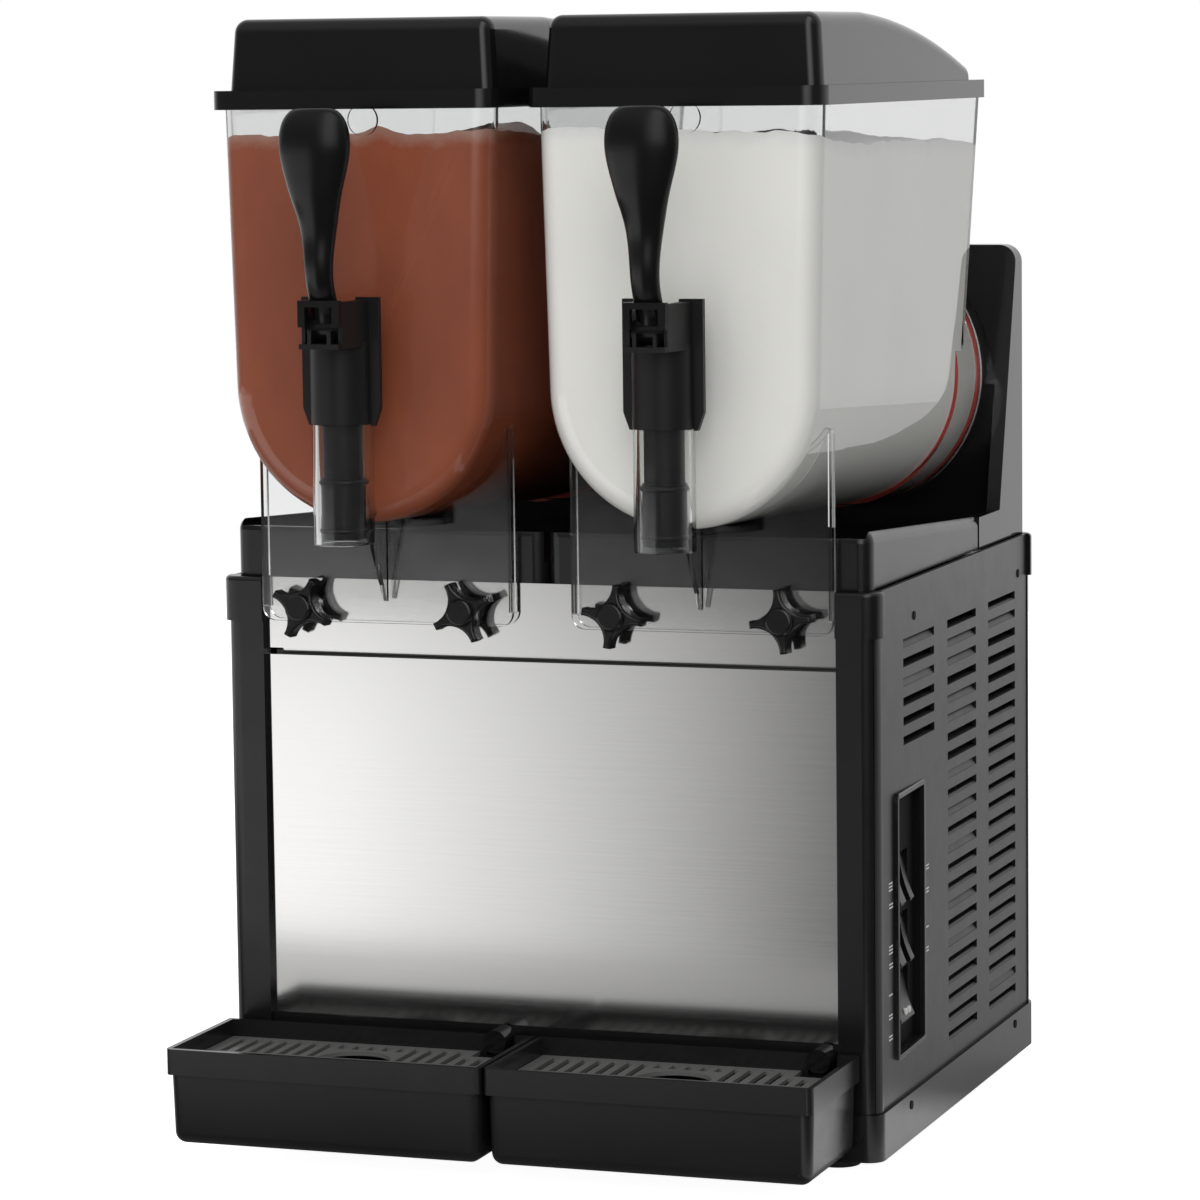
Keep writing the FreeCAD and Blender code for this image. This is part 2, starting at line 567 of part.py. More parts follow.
def bowl(label, side):
    """The clear moulding: trough, rear collar and rim, tap tube, apron, gusset and boss."""
    tag = "Bowl" + label.title()
    outside = trough(tag + "Outside", Size(0, "0"), s.BowlRound.value)
    inside = trough(tag + "Inside", s.BowlWall, s.BowlRound.value - s.BowlWall.value)
    collar = axial_rod(tag + "Collar", 0, s.CollarRadius, -s.CollarLong, 0)
    rim = axial_rod(tag + "Rim", 0, s.RimRadius, -s.RimThick, 0)
    collar_bore = axial_rod(tag + "CollarBore", 0, s.CollarBore, -s.CollarLong + 3, 1)
    tube = rod(tag + "Tube", "z", (0, s.TapY), s.TubeRadius, s.TubeBottom, s.BarrelBottom - 0.3)
    neck = rod(tag + "TubeNeck", "z", (0, s.TapY), s.TubeNeck, s.TubeBottom + 10, s.TubeTop)
    tube_bore = rod(tag + "TubeBore", "z", (0, s.TapY), s.TubeBore, s.TubeBottom - 1, s.TubeTop + 1)
    spout = rod(tag + "Spout", "y", (0, s.PortZ), s.PortRadius + 4, s.TapY, s.BowlFront + 2)
    port = rod(tag + "Port", "y", (0, s.PortZ), s.PortRadius, s.TapY, s.BowlFront + 6)
    lug = block(tag + "Lug", (-8, 8), (s.TapY + 12, s.BowlFront + 1), (444, 466))
    plate = rounded(tag + "Plate", block(tag + "PlateBlock", (-s.ApronHalf, s.ApronHalf),
                                         (s.ApronFront, s.ApronFront + s.ApronThick),
                                         (s.ApronBottom, s.ApronTop)), 8.0,
                    lambda edge: edge.YLength > 2 and edge.ZMax < 320 and edge.XLength < 0.01)
    returns = []
    for hand in (-1, 1):
        middle = (s.ApronHalf - 1.4) * hand
        returns.append(block(f"{tag}Return{hand}", (middle - 1.4, middle + 1.4),
                             (s.ApronFront + 1, s.ApronFront + 6.6), (s.ApronBottom + 8, s.ApronTop)))
    gusset = prism(tag + "Gusset", "x", [(s.BowlFront + 4, 384), (s.ApronFront + 1, 384),
                                         (s.ApronFront + 1, 326), (s.ApronFront - 1, 326)], -1.5, 1.5)
    boss = rod(tag + "Boss", "y", (6.5, 606), 9, s.BowlFront - 2.5, s.BowlFront + 1)
    holes = []
    for hand in (-1, 1):
        foot = (s.StudSide * hand, s.ApronFront, s.StudZ)
        holes.append(slanted_rod(f"{tag}Hole{hand}", foot, s.StudRadius + 0.8, -6, 10))
    whole = fuse(tag + "Whole", outside, collar, rim, tube, neck, spout, lug, plate, *returns, gusset, boss)
    hollow = cut(tag, whole, inside, collar_bore, tube_bore, port, *holes)
    keep("bowl_" + label, move(hollow, s.BowlCentre * side))


def slush(label, side):
    """The frozen drink: it fills the bowl to a slanting top, round the auger's sweep."""
    tag = "Slush" + label.title()
    filling = trough(tag + "Filling", s.BowlWall + s.SlushGap, 10.0)
    top = prism(tag + "Level", "x", [(s.BowlFront, 300), (s.BowlFront, s.SlushFrontZ), (200, s.SlushRearZ),
                                     (200, 300)], -90, 90)
    level = common(tag + "Levelled", filling, top)
    collar = axial_rod(tag + "Collar", 0, s.CollarBore - s.SlushGap, -s.CollarLong + 4, -2)
    sweep = axial_rod(tag + "Sweep", 0, s.SlushBore, -s.AugerFront - 23, 20)
    keep("slush_" + label, move(cut(tag, fuse(tag + "Whole", level, collar), sweep), s.BowlCentre * side))


def seal(label, side):
    lip = ring("Seal" + label.title(), "y", (0, 0), s.SealOuter, s.SealInner, 0.2, s.SealThick)
    keep("seal_" + label, sloped(lip, side))


# Cold drum, auger and gear motor: rods along the axis, with -Y forward

def cold_drum(label, side):
    tag = "Drum" + label.title()
    shell = rounded(tag + "Shell", rod(tag + "Rod", "y", (0, 0), s.DrumRadius, -s.DrumFront, 11), 5.0,
                    lambda edge: edge.YMax < -s.DrumFront.value + 0.1)
    flange = rod(tag + "Flange", "y", (0, 0), s.DrumFlange, 7, 11)
    bore = rod(tag + "Bore", "y", (0, 0), s.DrumRadius - s.DrumWall, -s.DrumFront + 4, 12)
    mouth = rod(tag + "Mouth", "y", (0, 0), s.ShaftRadius + 0.1, -s.DrumFront - 1, -s.DrumFront + 5)
    keep("cold_drum_" + label, sloped(cut(tag, fuse(tag + "Whole", shell, flange), bore, mouth), side))


def gear_motor(label, side):
    tag = "Motor" + label.title()
    pieces = [rod(tag + "Can", "y", (0, 0), 39, -240, -110), rod(tag + "Gears", "y", (0, 0), 45, -291, -240),
              rod(tag + "Pilot", "y", (0, 0), 16, -296, -291), rod(tag + "Cap", "y", (0, 0), 22, -110, -98)]
    pieces += [rod(f"{tag}Bolt{x}{z}", "y", (31 * x, 31 * z), 4, -296, -291)
               for x in (-1, 1) for z in (-1, 1)]
    keep("gear_motor_" + label, sloped(fuse(tag, *pieces), side))


def auger(label, side):
    """The scraper: a helical blade round the drum, its front ring, three spokes, the hub and its shaft."""
    tag = "Auger" + label.title()
    body = doc.addObject("PartDesign::Body", tag + "Blade")
    near, wide = s.AugerInner, s.AugerOuter
    corners = [(near, 0), (wide, 0), (wide, s.AugerBlade), (near, s.AugerBlade)]
    section = outline(body, tag + "Section", "XZ_Plane", 0, corners)
    blade = body.newObject("PartDesign::AdditiveHelix", tag + "Helix")
    blade.Profile = section
    blade.ReferenceAxis = (next(item for item in body.Origin.OriginFeatures if item.Role == "Z_Axis"), [""])
    blade.Mode = 0
    bind(blade, "Pitch", s.AugerPitch)
    bind(blade, "Height", s.AugerFront - s.AugerRear - s.AugerBlade)
    body.Placement = Placement(Vector(0, -s.AugerRear.value, 0), Rotation(Vector(1, 0, 0), 90))
    bind(body, "Placement.Base.y", -s.AugerRear)
    front = -s.AugerFront
    hoop = ring(tag + "Hoop", "y", (0, 0), s.AugerOuter, s.AugerInner + 2, front - 5, front + 1)
    spokes = []
    for turn in range(3):
        spoke = block(f"{tag}Spoke{turn}", (0, s.AugerInner + 5), (front - 5, front), (-6, 6))
        spoke.Placement = Placement(Vector(), Rotation(Vector(0, 1, 0), 120 * turn), Vector())
        reach = Rotation(Vector(0, 1, 0), 120 * turn).multVec(Vector(0, 0, -6))
        move(spoke, reach.x, front - 5, reach.z)
        spokes.append(spoke)
    hub = rounded(tag + "Hub", rod(tag + "HubRod", "y", (0, 0), 15, front - 19, front + 0.5), 6.0,
                  lambda edge: edge.YMax < front.value - 18)
    shaft = rod(tag + "Shaft", "y", (0, 0), s.ShaftRadius, front, -s.DrumFront + 3.6)
    keep("auger_" + label, sloped(fuse(tag, body, hoop, *spokes, hub, shaft), side))


# Knobs

def star_knob(node, side, hand, turn):
    """A four-armed knob: a disc with four round bites, and a raised boss."""
    tag = "Knob" + node.title().replace("_", "")
    thick, reach, bite, away = 11.0, 18.4, 14.4, 23.4
    disc = rod(tag + "Disc", "y", (0, 0), reach, -thick, 0)
    bites = []
    for quarter in range(4):
        angle = math.radians(45 + 90 * quarter)
        bites.append(rod(f"{tag}Bite{quarter}", "y", (away * math.cos(angle), away * math.sin(angle)), bite,
                         -thick - 1, 1))
    star = cut(tag + "Star", disc, *bites)
    soft = rounded(tag + "Soft", star, 1.6, lambda edge: edge.YMax < -thick + 0.1)
    boss = rounded(tag + "Boss", rod(tag + "BossRod", "y", (0, 0), 8.2, -thick - 3, 0), 2.0,
                   lambda edge: edge.YMax < -thick - 2.9)
    bore = rod(tag + "Bore", "y", (0, 0), s.StudRadius + 0.25, -12.8, 1)
    knob = cut(tag, fuse(tag + "Whole", soft, boss), bore)
    spin = Rotation(Vector(0, 1, 0), -turn)
    knob.Placement = Placement(Vector(), Rotation(Vector(1, 0, 0), -s.Tilt.value).multiply(spin))
    keep(node, move(knob, s.BowlCentre * side + s.StudSide * hand, s.ApronFront - TILT_COS,
                    s.StudZ + TILT_SIN))


# Taps

def tap_barrel(label, side):
    """The black sleeve on the clear tube, with its wing plate, shelf and the two cheeks of the hinge."""
    tag = "Barrel" + label.title()
    wing_front, wing_back = s.TapY - 1, s.TapY + 3
    sleeve = rod(tag + "Sleeve", "z", (0, s.TapY), s.BarrelRadius, s.BarrelBottom, s.BarrelTop)
    wing = prism(tag + "Wing", "y", [(-s.WingHalf, s.WingTop), (-s.WingHalf, s.WingBottom + 10),
                                     (-s.WingFoot, s.WingBottom), (s.WingFoot, s.WingBottom),
                                     (s.WingHalf, s.WingBottom + 10), (s.WingHalf, s.WingTop)],
                 wing_front, wing_back)
    shelf = block(tag + "Shelf", (-12, 12), (s.YokeFront, s.TapY), (s.BarrelTop - s.ShelfThick, s.BarrelTop))
    cheeks = []
    for hand, name in ((-1, "Left"), (1, "Right")):
        plan = [(10.0 * hand, s.CheekNear), (12.0 * hand, s.CheekNear), (18.0 * hand, wing_front + 2),
                (10.0 * hand, wing_front + 2)]
        cheeks.append(prism(tag + "Cheek" + name, "z", plan, s.BarrelTop - s.ShelfThick, s.CheekTop))
    trunnion = rod(tag + "Trunnion", "x", (s.PivotY, s.PivotZ), s.PivotRadius, -12, 12)
    bore = rod(tag + "Bore", "z", (0, s.TapY), s.TubeNeck, s.WingBottom - 1, s.TubeTop + 0.5)
    stem = rod(tag + "StemHole", "z", (0, s.TapY), s.StemRadius + 0.1, s.TubeTop - 1, s.BarrelTop + 30)
    room = block(tag + "Room", (-9.7, 9.7), (s.TapY - 12, s.TapY + 9), (s.BarrelTop, s.WingTop + 1))
    tube_room = rod(tag + "TubeRoom", "z", (0, s.TapY), s.TubeRadius + 0.3, s.WingBottom - 1, s.BarrelBottom)
    lug = block(tag + "LugSlot", (-8, 8), (s.TapY + 10, s.BowlFront), (443, 467))
    whole = fuse(tag + "Whole", sleeve, wing, *cheeks, shelf, trunnion)
    keep("tap_barrel_" + label, move(cut(tag, whole, bore, stem, room, tube_room, lug), s.BowlCentre * side))


def oval(name, x, y, z, half_wide, half_deep):
    item = doc.addObject("Part::Ellipse", name)
    bind(item, "MajorRadius", half_wide)
    bind(item, "MinorRadius", half_deep)
    return move(item, x, y, z)


def tap_handle(label, side):
    """The lever: a fork on the trunnion with a cross bar behind it, and a tall grip."""
    tag = "Handle" + label.title()
    knuckle = rod(tag + "Knuckle", "x", (s.PivotY, s.PivotZ), 7, -9.5, 9.5)
    bore = rod(tag + "Bore", "x", (s.PivotY, s.PivotZ), s.PivotRadius + 0.08, -11, 11)
    arms = [block(f"{tag}Arm{hand}", (7.4 * hand - 1.9, 7.4 * hand + 1.9), (s.PivotY, s.PivotY + s.CamReach),
                  (s.PivotZ - 3, s.PivotZ + 3)) for hand in (-1, 1)]
    bar = rod(tag + "Bar", "x", (s.PivotY + s.CamReach, s.PivotZ), s.CamRadius, -9.3, 9.3)
    gap = block(tag + "Gap", (-5.5, 5.5), (s.PivotY + 4.2, s.PivotY + 12), (s.PivotZ - 9, s.PivotZ + 9))
    yoke = prism(tag + "Yoke", "x", [(s.YokeFront, s.YokeBottom), (s.YokeFront, s.YokeTop),
                                     (s.YokeFront + 4.6, s.YokeTop), (s.YokeFront + 4, s.YokeBottom)],
                 -s.YokeHalf, s.YokeHalf)
    window = block(tag + "Window", (-s.NeckHalf, s.NeckHalf), (s.YokeFront - 1, s.YokeFront + 5),
                   (s.YokeBottom - 1, s.YokeSill))
    sections = [(s.PivotZ + 2, -208.5, s.NeckHalf - 0.4, 5.5), (s.YokeTop, -213.0, s.NeckHalf, 6.0),
                (s.GripNeck, s.NeckY, s.NeckHalf, 6.0), (s.GripNeck + 24, s.NeckY - 2, s.NeckHalf + 1.2, 6.6),
                (s.GripNeck + 50, s.NeckY - 4.5, 14.6, 8.6),
                (s.GripWide - 8, s.GripY, s.GripHalf - 0.9, s.GripDeep),
                (s.GripWide + 6, s.GripY, s.GripHalf - 0.7, s.GripDeep),
                (s.GripTop - 3, s.GripY, s.GripHalf - 5.5, s.GripDeep - 3),
                (s.GripTop, s.GripY, s.GripHalf - 12, 3.5)]
    loft = doc.addObject("Part::Loft", tag + "Grip")
    loft.Sections = [oval(f"{tag}Oval{count}", 0, y, z, wide, deep)
                     for count, (z, y, wide, deep) in enumerate(sections)]
    loft.Solid = True
    loft.Ruled = False
    whole = fuse(tag + "Whole", knuckle, *arms, bar, cut(tag + "YokeOpen", yoke, window), loft)
    keep("tap_handle_" + label, move(cut(tag, whole, bore, gap), s.BowlCentre * side))


def tap_piston(label, side):
    """The valve piston: plug with two sealing rings, waist, stem and the hooked tongue above."""
    tag = "Piston" + label.title()
    centre = (0, s.TapY)
    plug = rod(tag + "Plug", "z", centre, 12.6, 369, 404)
    waist = rod(tag + "Waist", "z", centre, 11.5, 404, 436)
    stem = rod(tag + "Stem", "z", centre, s.StemRadius, 436, s.PivotZ - 4)
    tongue = block(tag + "Tongue", (-5, 5), (s.TapY - 7, s.TapY + 5), (s.PivotZ - 7, s.PivotZ + 9))
    slot = block(tag + "Slot", (-6, 6), (s.TapY - 8, s.TapY + 2.6), (s.PivotZ - 3.2, s.PivotZ + 3.4))
    seals = [torus(f"{tag}Seal{count}", "z", (0, s.TapY, z), 12.2, 1.7)
             for count, z in enumerate((373.9, 401.4))]
    whole = fuse(tag + "Whole", plug, waist, stem, tongue, *seals)
    keep("tap_piston_" + label, move(cut(tag, whole, slot), s.BowlCentre * side))


def tap_spring(label, side):
    coil = ring("Spring" + label.title(), "z", (0, s.TapY), 8.4, 6.0, 436.2, s.TubeTop - 0.2)
    keep("tap_spring_" + label, move(coil, s.BowlCentre * side))


# Lids

def dome(name, inset):
    """The lid's raised middle: drafted walls, a flat front part and a top that curves down to the rear."""
    foot = s.LidRim - 2
    profile = [(-200, foot), (-200, s.DomeTop - inset), (s.DomeBreak, s.DomeTop - inset),
               (s.DomeRearY - inset, s.DomeRearZ - inset), (200, s.DomeRearZ - 10 - inset), (200, foot)]
    arc = {2: (s.DomeArc, 60.0, 654.3 - sized(inset).value)}
    walls = wedge(name + "Walls", (-s.DomeHalf + inset, s.DomeHalf - inset),
                  (s.DomeFront + inset, s.DomeBack - inset), (foot, s.DomeTop + 1), -s.DomeDraft)
    crown = prism(name + "Crown", "x", profile, -100, 100, arc)
    return rounded(name, common(name + "Block", walls, crown), 8.0, lambda edge: edge.ZMax > s.LidRim.value
                   and not (edge.XLength > 1 and abs(edge.Center.y - s.DomeBreak.value) < 1))


def lid(label, side):
    tag = "Lid" + label.title()
    rim_block = block(tag + "RimBlock", (-s.LidHalf, s.LidHalf), (s.LidFront, s.LidBack),
                      (s.LidBottom, s.LidRim))
    rim_front = rounded(tag + "RimFront", rim_block, 13.0, lambda edge: upright(edge) and edge.YMax < 0)
    rim = rounded(tag + "Rim", rim_front, 8.0, lambda edge: upright(edge) and edge.YMin > 0)
    skirt = rounded(tag + "Skirt", block(tag + "SkirtBlock", (-s.LidHalf + s.LidLap, s.LidHalf - s.LidLap),
                                         (s.LidFront + s.LidLap, s.LidBack - s.LidLap),
                                         (s.LidBottom - 1, s.BowlTop)), 9.7,
                    lambda edge: upright(edge) and edge.YMax < 0)
    mouth = block(tag + "Mouth", (-s.DomeHalf + 4, s.DomeHalf - 4), (s.DomeFront + 4, s.DomeBack - 4),
                  (s.BowlTop - 1, s.LidRim + 0.1))
    whole = fuse(tag + "Whole", rim, dome(tag + "Dome", Size(0, "0")))
    shell = cut(tag, whole, skirt, mouth, dome(tag + "Room", s.LidWall))
    keep("lid_" + label, move(shell, s.BowlCentre * side))


# Drip trays and grates

def wedge(name, x, y, z, draw):
    """A block that narrows by draw on every side towards its foot."""
    item = doc.addObject("Part::Wedge", name)
    for prop, value in (("Xmin", x[0] + draw), ("Xmax", x[1] - draw), ("X2min", x[0]), ("X2max", x[1]),
                        ("Ymin", z[0]), ("Ymax", z[1]), ("Zmin", -y[1] + draw), ("Zmax", -y[0] - draw),
                        ("Z2min", -y[1]), ("Z2max", -y[0])):
        bind(item, prop, value)
    item.Placement = Placement(Vector(), Rotation(Vector(1, 0, 0), 90))
    return item


def drip_tray(label, side):
    tag = "Tray" + label.title()
    half, front, back, wall = s.TrayHalf, s.TrayFront, s.TrayBack, s.TrayWall
    rim = rounded(tag + "Rim", block(tag + "RimBlock", (-half, half), (front, back), (s.RimBottom, s.RimTop)),
                  4.0, lambda edge: upright(edge) and edge.Center.y < -200)
    tub = rounded(tag + "Tub", wedge(tag + "TubBlock", (-half + 1.3, half - 1.3), (front + 1.8, back - 0.5),
                                     (s.TrayBottom, s.RimBottom + 2), sized(1.0)), 7.0,
                  lambda edge: edge.ZMax < 17 or edge.ZLength > 30)
    well = rounded(tag + "Well", wedge(tag + "WellBlock", (-half + 1.3 + wall, half - 1.3 - wall),
                                       (front + 1.8 + wall, back - 0.5 - wall),
                                       (s.TrayBottom + wall, s.GrateZ + 1), sized(1.0)), 5.0,
                   lambda edge: edge.ZMax < 20 or edge.ZLength > 30)
    seat = block(tag + "Seat", (-half + 3.2, half - 3.2), (front + 3.2, back - 2.4), (s.GrateZ, s.RimTop + 1))
    notch = block(tag + "Notch", (s.HookSide - 8.5, s.HookSide + 8.5), (back - 4, back + 1),
                  (s.GrateZ, s.RimTop + 1))
    slot = block(tag + "Slot", (-31.0, 31.0), (back - 8, back + 1), (40.0, 48.0))
    keep("drip_tray_" + label, move(cut(tag, fuse(tag + "Whole", rim, tub), well, seat, notch, slot),
                                    s.TrayShift + (half + s.TrayGap) * side))


def grate(label, side):
    """The slotted plate: two rows of long slots, and half moons with short slots in the middle."""
    tag = "Grate" + label.title()
    half, front, back = s.TrayHalf - 3.6, s.TrayFront + 3.6, s.TrayBack - 2.9
    low, high = s.GrateZ, s.GrateZ + s.GrateThick
    plate = block(tag + "Plate", (-half, half), (front, back), (low, high))
    middle = (front + back) / 2
    cutters = [block(tag + "HookNotch", (s.HookSide - 12.5, s.HookSide + 12.5), (back - 16, back + 1),
                     (low - 1, high + 1))]
    for column in range(-9, 10):
        x = s.GratePitch * column
        gap = 27 if abs(column) <= 2 else 3
        for row in ((front + 6, middle - gap), (middle + gap, back - (6 if column < 7 else 22))):
            cutters.append(block(f"{tag}Slot{len(cutters)}", (x - s.GrateSlot / 2, x + s.GrateSlot / 2),
                                 row, (low - 1, high + 1)))
    moon = cut(tag + "Moon", rod(tag + "Disc", "z", (0, middle), 22.5, low - 1, high + 1),
               block(tag + "Bar", (-30, 30), (middle - 2.6, middle + 2.6), (low - 2, high + 2)))
    cutters.append(moon)
    keep("grate_" + label, move(cut(tag, plate, *cutters), s.TrayShift + (s.TrayHalf + s.TrayGap) * side))


def tray_hooks():
    """For each tray a round hook above its rear corner and a flat tongue in its rear slot."""
    hooks = []
    for label, side in SIDES.items():
        middle = s.TrayShift + (s.TrayHalf + s.TrayGap) * side
        hooks.append(rod("Hook" + label, "y", (middle + s.HookSide, s.HookZ), s.HookRadius, -139.0,
                         s.BodyFront + 3))
        hooks.append(block("Tongue" + label, (middle - 30, middle + 30), (-142, s.BodyFront + 0.5), (41, 47)))
    keep("tray_hooks", group("TrayHooks", hooks))


# Switches and fasteners

ROCKERS = {"rocker_top": s.RockerTopZ, "rocker_middle": s.RockerMidZ, "rocker_low": s.RockerLowZ}


def switch_bezel():
    """The sunk plate on the side, with a hole, two ears and a pivot for each rocker."""
    outside = block("BezelBlock", (s.BezelBack, s.SideOuter - s.Skin), (s.SwitchNear - 3, s.SwitchFar + 3),
                    (s.SwitchLow - 3, s.SwitchHigh + 3))
    recess = block("BezelRecess", (s.BezelFace, s.SideOuter), (s.SwitchNear, s.SwitchFar),
                   (s.SwitchLow, s.SwitchHigh))
    holes, ears = [], []
    for node, z in ROCKERS.items():
        holes.append(block(node + "Hole", (s.BezelBack - 1, s.BezelFace + 1),
                           (s.RockerNear - 0.5, s.RockerFar + 0.5), (z - 13.2, z + 13.2)))
        for end, (near, far) in enumerate(((s.RockerNear - 2.5, s.RockerNear - 0.5),
                                           (s.RockerFar + 0.5, s.RockerFar + 2.5))):
            ears.append(block(f"{node}Ear{end}", (s.RockerAxis - 4, s.BezelBack + 1), (near, far),
                              (z - 5, z + 5)))
        ears.append(rod(node + "Pivot", "y", (s.RockerAxis, z), s.RockerPin,
                        s.RockerNear - 1, s.RockerFar + 1))
    keep("switch_bezel", fuse("SwitchBezel", cut("BezelPlate", outside, recess, *holes), *ears))


def rocker(node, z):
    """A rocker with a hollowed face; its ends stay inside one circle about its hinge."""
    axis = s.RockerAxis
    face = [(axis - 5, z - 11.9), (axis - 5, z + 11.9), (axis + 5, z + 12), (axis + 11.2, z + 6.4),
            (axis + 8.4, z), (axis + 11.2, z - 6.4), (axis + 5, z - 12)]
    tag = node.title().replace("_", "")
    bore = rod(tag + "Bore", "y", (axis, z), s.RockerPin + 0.06, s.RockerNear - 1, s.RockerFar + 1)
    keep(node, cut(tag, prism(tag + "Body", "y", face, s.RockerNear, s.RockerFar), bore))


# Cooling unit inside the body

def compressor():
    x, y, radius = s.CompressorX, s.CompressorY, s.CompressorRadius
    can = rod("CompressorCan", "z", (x, y), radius, 34, 150)
    dome_top = rounded("CompressorDome", rod("CompressorLid", "z", (x, y), radius, 150, 182), 28.0,
                       lambda edge: edge.ZMin > 181)
    plate = block("CompressorPlate", (x - 78, x + 78), (y - 58, y + 58), (26, 30))
    pegs = [rod(f"CompressorPeg{i}{j}", "z", (x + 66 * i, y + 46 * j), 8, s.BaseBottom + 3, 26)
            for i in (-1, 1) for j in (-1, 1)]
    neck = rod("CompressorNeck", "z", (x, y), 40, 30, 34)
    keep("compressor", fuse("Compressor", can, dome_top, plate, neck, *pegs))


def condenser():
    left, right = s.CondenserLeft, s.CondenserRight
    fins = [block(f"Fin{count}", (left + 3 + 6 * count, left + 4.5 + 6 * count), (192, 220), (62, 296))
            for count in range(41)]
    ends = [block("CondenserFoot", (left, right), (190, 222), (s.BaseBottom + 3, 62)),
            block("CondenserHead", (left, right), (190, 222), (296, 300))]
    tubes = [rod(f"CondenserTube{row}{deep}", "x", (199 + 14 * deep, 80 + 25 * row), 4.5, left, right)
             for row in range(9) for deep in (0, 1)]
    keep("condenser", group("Condenser", ends + fins + tubes))


def fan_shroud():
    """A plate with a round throat, closed up to the condenser, and the motor on four arms before it."""
    x, z = s.FanX, s.FanZ
    left, right, low, high = s.CondenserLeft, s.CondenserRight, s.BaseBottom + 3, 300
    box = cut("ShroudBox", block("ShroudBlock", (left, right), (182, 190), (low, high)),
              block("ShroudRoom", (left + 2, right - 2), (184, 191), (low + 2, high - 2)))
    hole = rod("ShroudHole", "y", (x, z), s.FanRadius + 3, 150, 195)
    throat = ring("ShroudThroat", "y", (x, z), s.FanRadius + 6, s.FanRadius + 3, 160, 184)
    arms = [block("ShroudArmLow", (x - 6, x + 6), (150, 155), (z - 112, z + 112)),
            block("ShroudArmSide", (x - 112, x + 112), (150, 155), (z - 6, z + 6))]
    posts = [block(f"ShroudPost{count}", (x + dx - 6, x + dx + 6), (150, 183), (z + dz - 6, z + dz + 6))
             for count, (dx, dz) in enumerate(((107, 0), (-107, 0), (0, 107), (0, -107)))]
    motor = rod("FanMotor", "y", (x, z), 30, 96, 152)
    shaft = rod("FanShaftRod", "y", (x, z), s.FanShaft, 150, 172)
    keep("fan_shroud", fuse("FanShroud", cut("ShroudCut", box, hole), throat, *arms, *posts, motor, shaft))


def fan_blade():
    x, z = s.FanX, s.FanZ
    hub = rod("FanHub", "y", (x, z), 24, 156, 176)
    blades = []
    for turn in range(5):
        blade = block(f"FanVane{turn}", (20, s.FanRadius), (-1.2, 1.2), (-24, 24))
        turned = Rotation(Vector(0, 1, 0), 72 * turn).multiply(Rotation(Vector(1, 0, 0), 22))
        start = turned.multVec(Vector(20, -1.2, -24))
        blade.Placement = Placement(Vector(), turned)
        move(blade, x + start.x, 166 + start.y, z + start.z)
        blades.append(blade)
    disc = rod("FanLimit", "y", (x, z), s.FanRadius, 150, 190)
    bore = rod("FanBore", "y", (x, z), s.FanShaft + 0.06, 150, 173)
    keep("fan_blade", cut("FanBlade", common("FanTrimmed", fuse("FanWhole", hub, *blades), disc), bore))


def control_box():
    box = block("ControlCase", (112, 178), (-88, 10), (58, 222))
    foot = block("ControlFoot", (118, 172), (-70, -10), (s.BaseBottom + 3, 58))
    keep("control_box", fuse("ControlBox", box, foot))


def refrigerant_lines():
    """Copper pipes: straight runs with a ball at every turn."""
    x, y, back = s.CompressorX.value, s.CompressorY.value, s.PipeY.value
    left, right, drum = -s.BowlCentre.value, s.BowlCentre.value, 476
    routes = [[(x + 20, y, 182), (x + 20, y, 236), (x + 20, 120, 236), (x + 20, 120, 316), (left, 120, 316),
               (left, back, 316), (left, back, drum), (left, 140, drum)],
              [(x - 20, y, 182), (x - 20, y, 306), (right, y, 306), (right, back, 306), (right, back, drum),
               (right, 140, drum)]]
    pieces = []
    for route in routes:
        for start, end in zip(route, route[1:]):
            index = next(i for i in range(3) if start[i] != end[i])
            centre = [start[i] for i in range(3) if i != index]
            low, high = sorted((start[index], end[index]))
            pieces.append(rod(f"Pipe{len(pieces)}", "xyz"[index], centre, 4, low, high))
            ball = doc.addObject("Part::Sphere", f"Bend{len(pieces)}")
            bind(ball, "Radius", 4)
            pieces.append(move(ball, *end))
    keep("refrigerant_lines", group("RefrigerantLines", pieces))


def inlet_block(name):
    return block(name, (-172, -140), (s.BodyBack - 18, s.BodyBack + 1), (48, 74))


def power_inlet():
    socket = block("InletSocket", (-168, -144), (s.BodyBack - 12, s.BodyBack + 2), (52, 70))
    pins = [block(f"InletPin{count}", (px - 1, px + 1), (s.BodyBack - 14, s.BodyBack - 3), (59, 63))
            for count, px in enumerate((-162, -156, -150))]
    keep("power_inlet", fuse("PowerInlet", cut("InletShell", inlet_block("InletBody"), socket), *pins))


base_pan()
feet()
for x_sign, x_name in ((-1, "left"), (1, "right")):
    for y_sign, y_name in ((-1, "front"), (1, "rear")):
        corner_post(f"post_{y_name}_{x_name}", x_sign, y_sign)
rear_panel()
front_sheets()
bowl_studs()
top_plate()
tower()
tray_hooks()
switch_bezel()
for node, height in ROCKERS.items():
    rocker(node, height)
case_screws()
compressor()
condenser()
fan_shroud()
fan_blade()
control_box()
refrigerant_lines()
power_inlet()
KNOB_TURNS = {"left": (64, 28), "right": (81, 7)}
for label, side in SIDES.items():
    side_panel(label, side)
    deck_pan(label, side)
    bowl(label, side)
    slush(label, side)
    seal(label, side)
    cold_drum(label, side)
    gear_motor(label, side)
    auger(label, side)
    tap_barrel(label, side)
    tap_handle(label, side)
    tap_piston(label, side)
    tap_spring(label, side)
    lid(label, side)
    drip_tray(label, side)
    grate(label, side)
    star_knob(f"knob_{label}_outer", side, side, KNOB_TURNS[label][0 if side < 0 else 1])
    star_knob(f"knob_{label}_inner", side, -side, KNOB_TURNS[label][1 if side < 0 else 0])

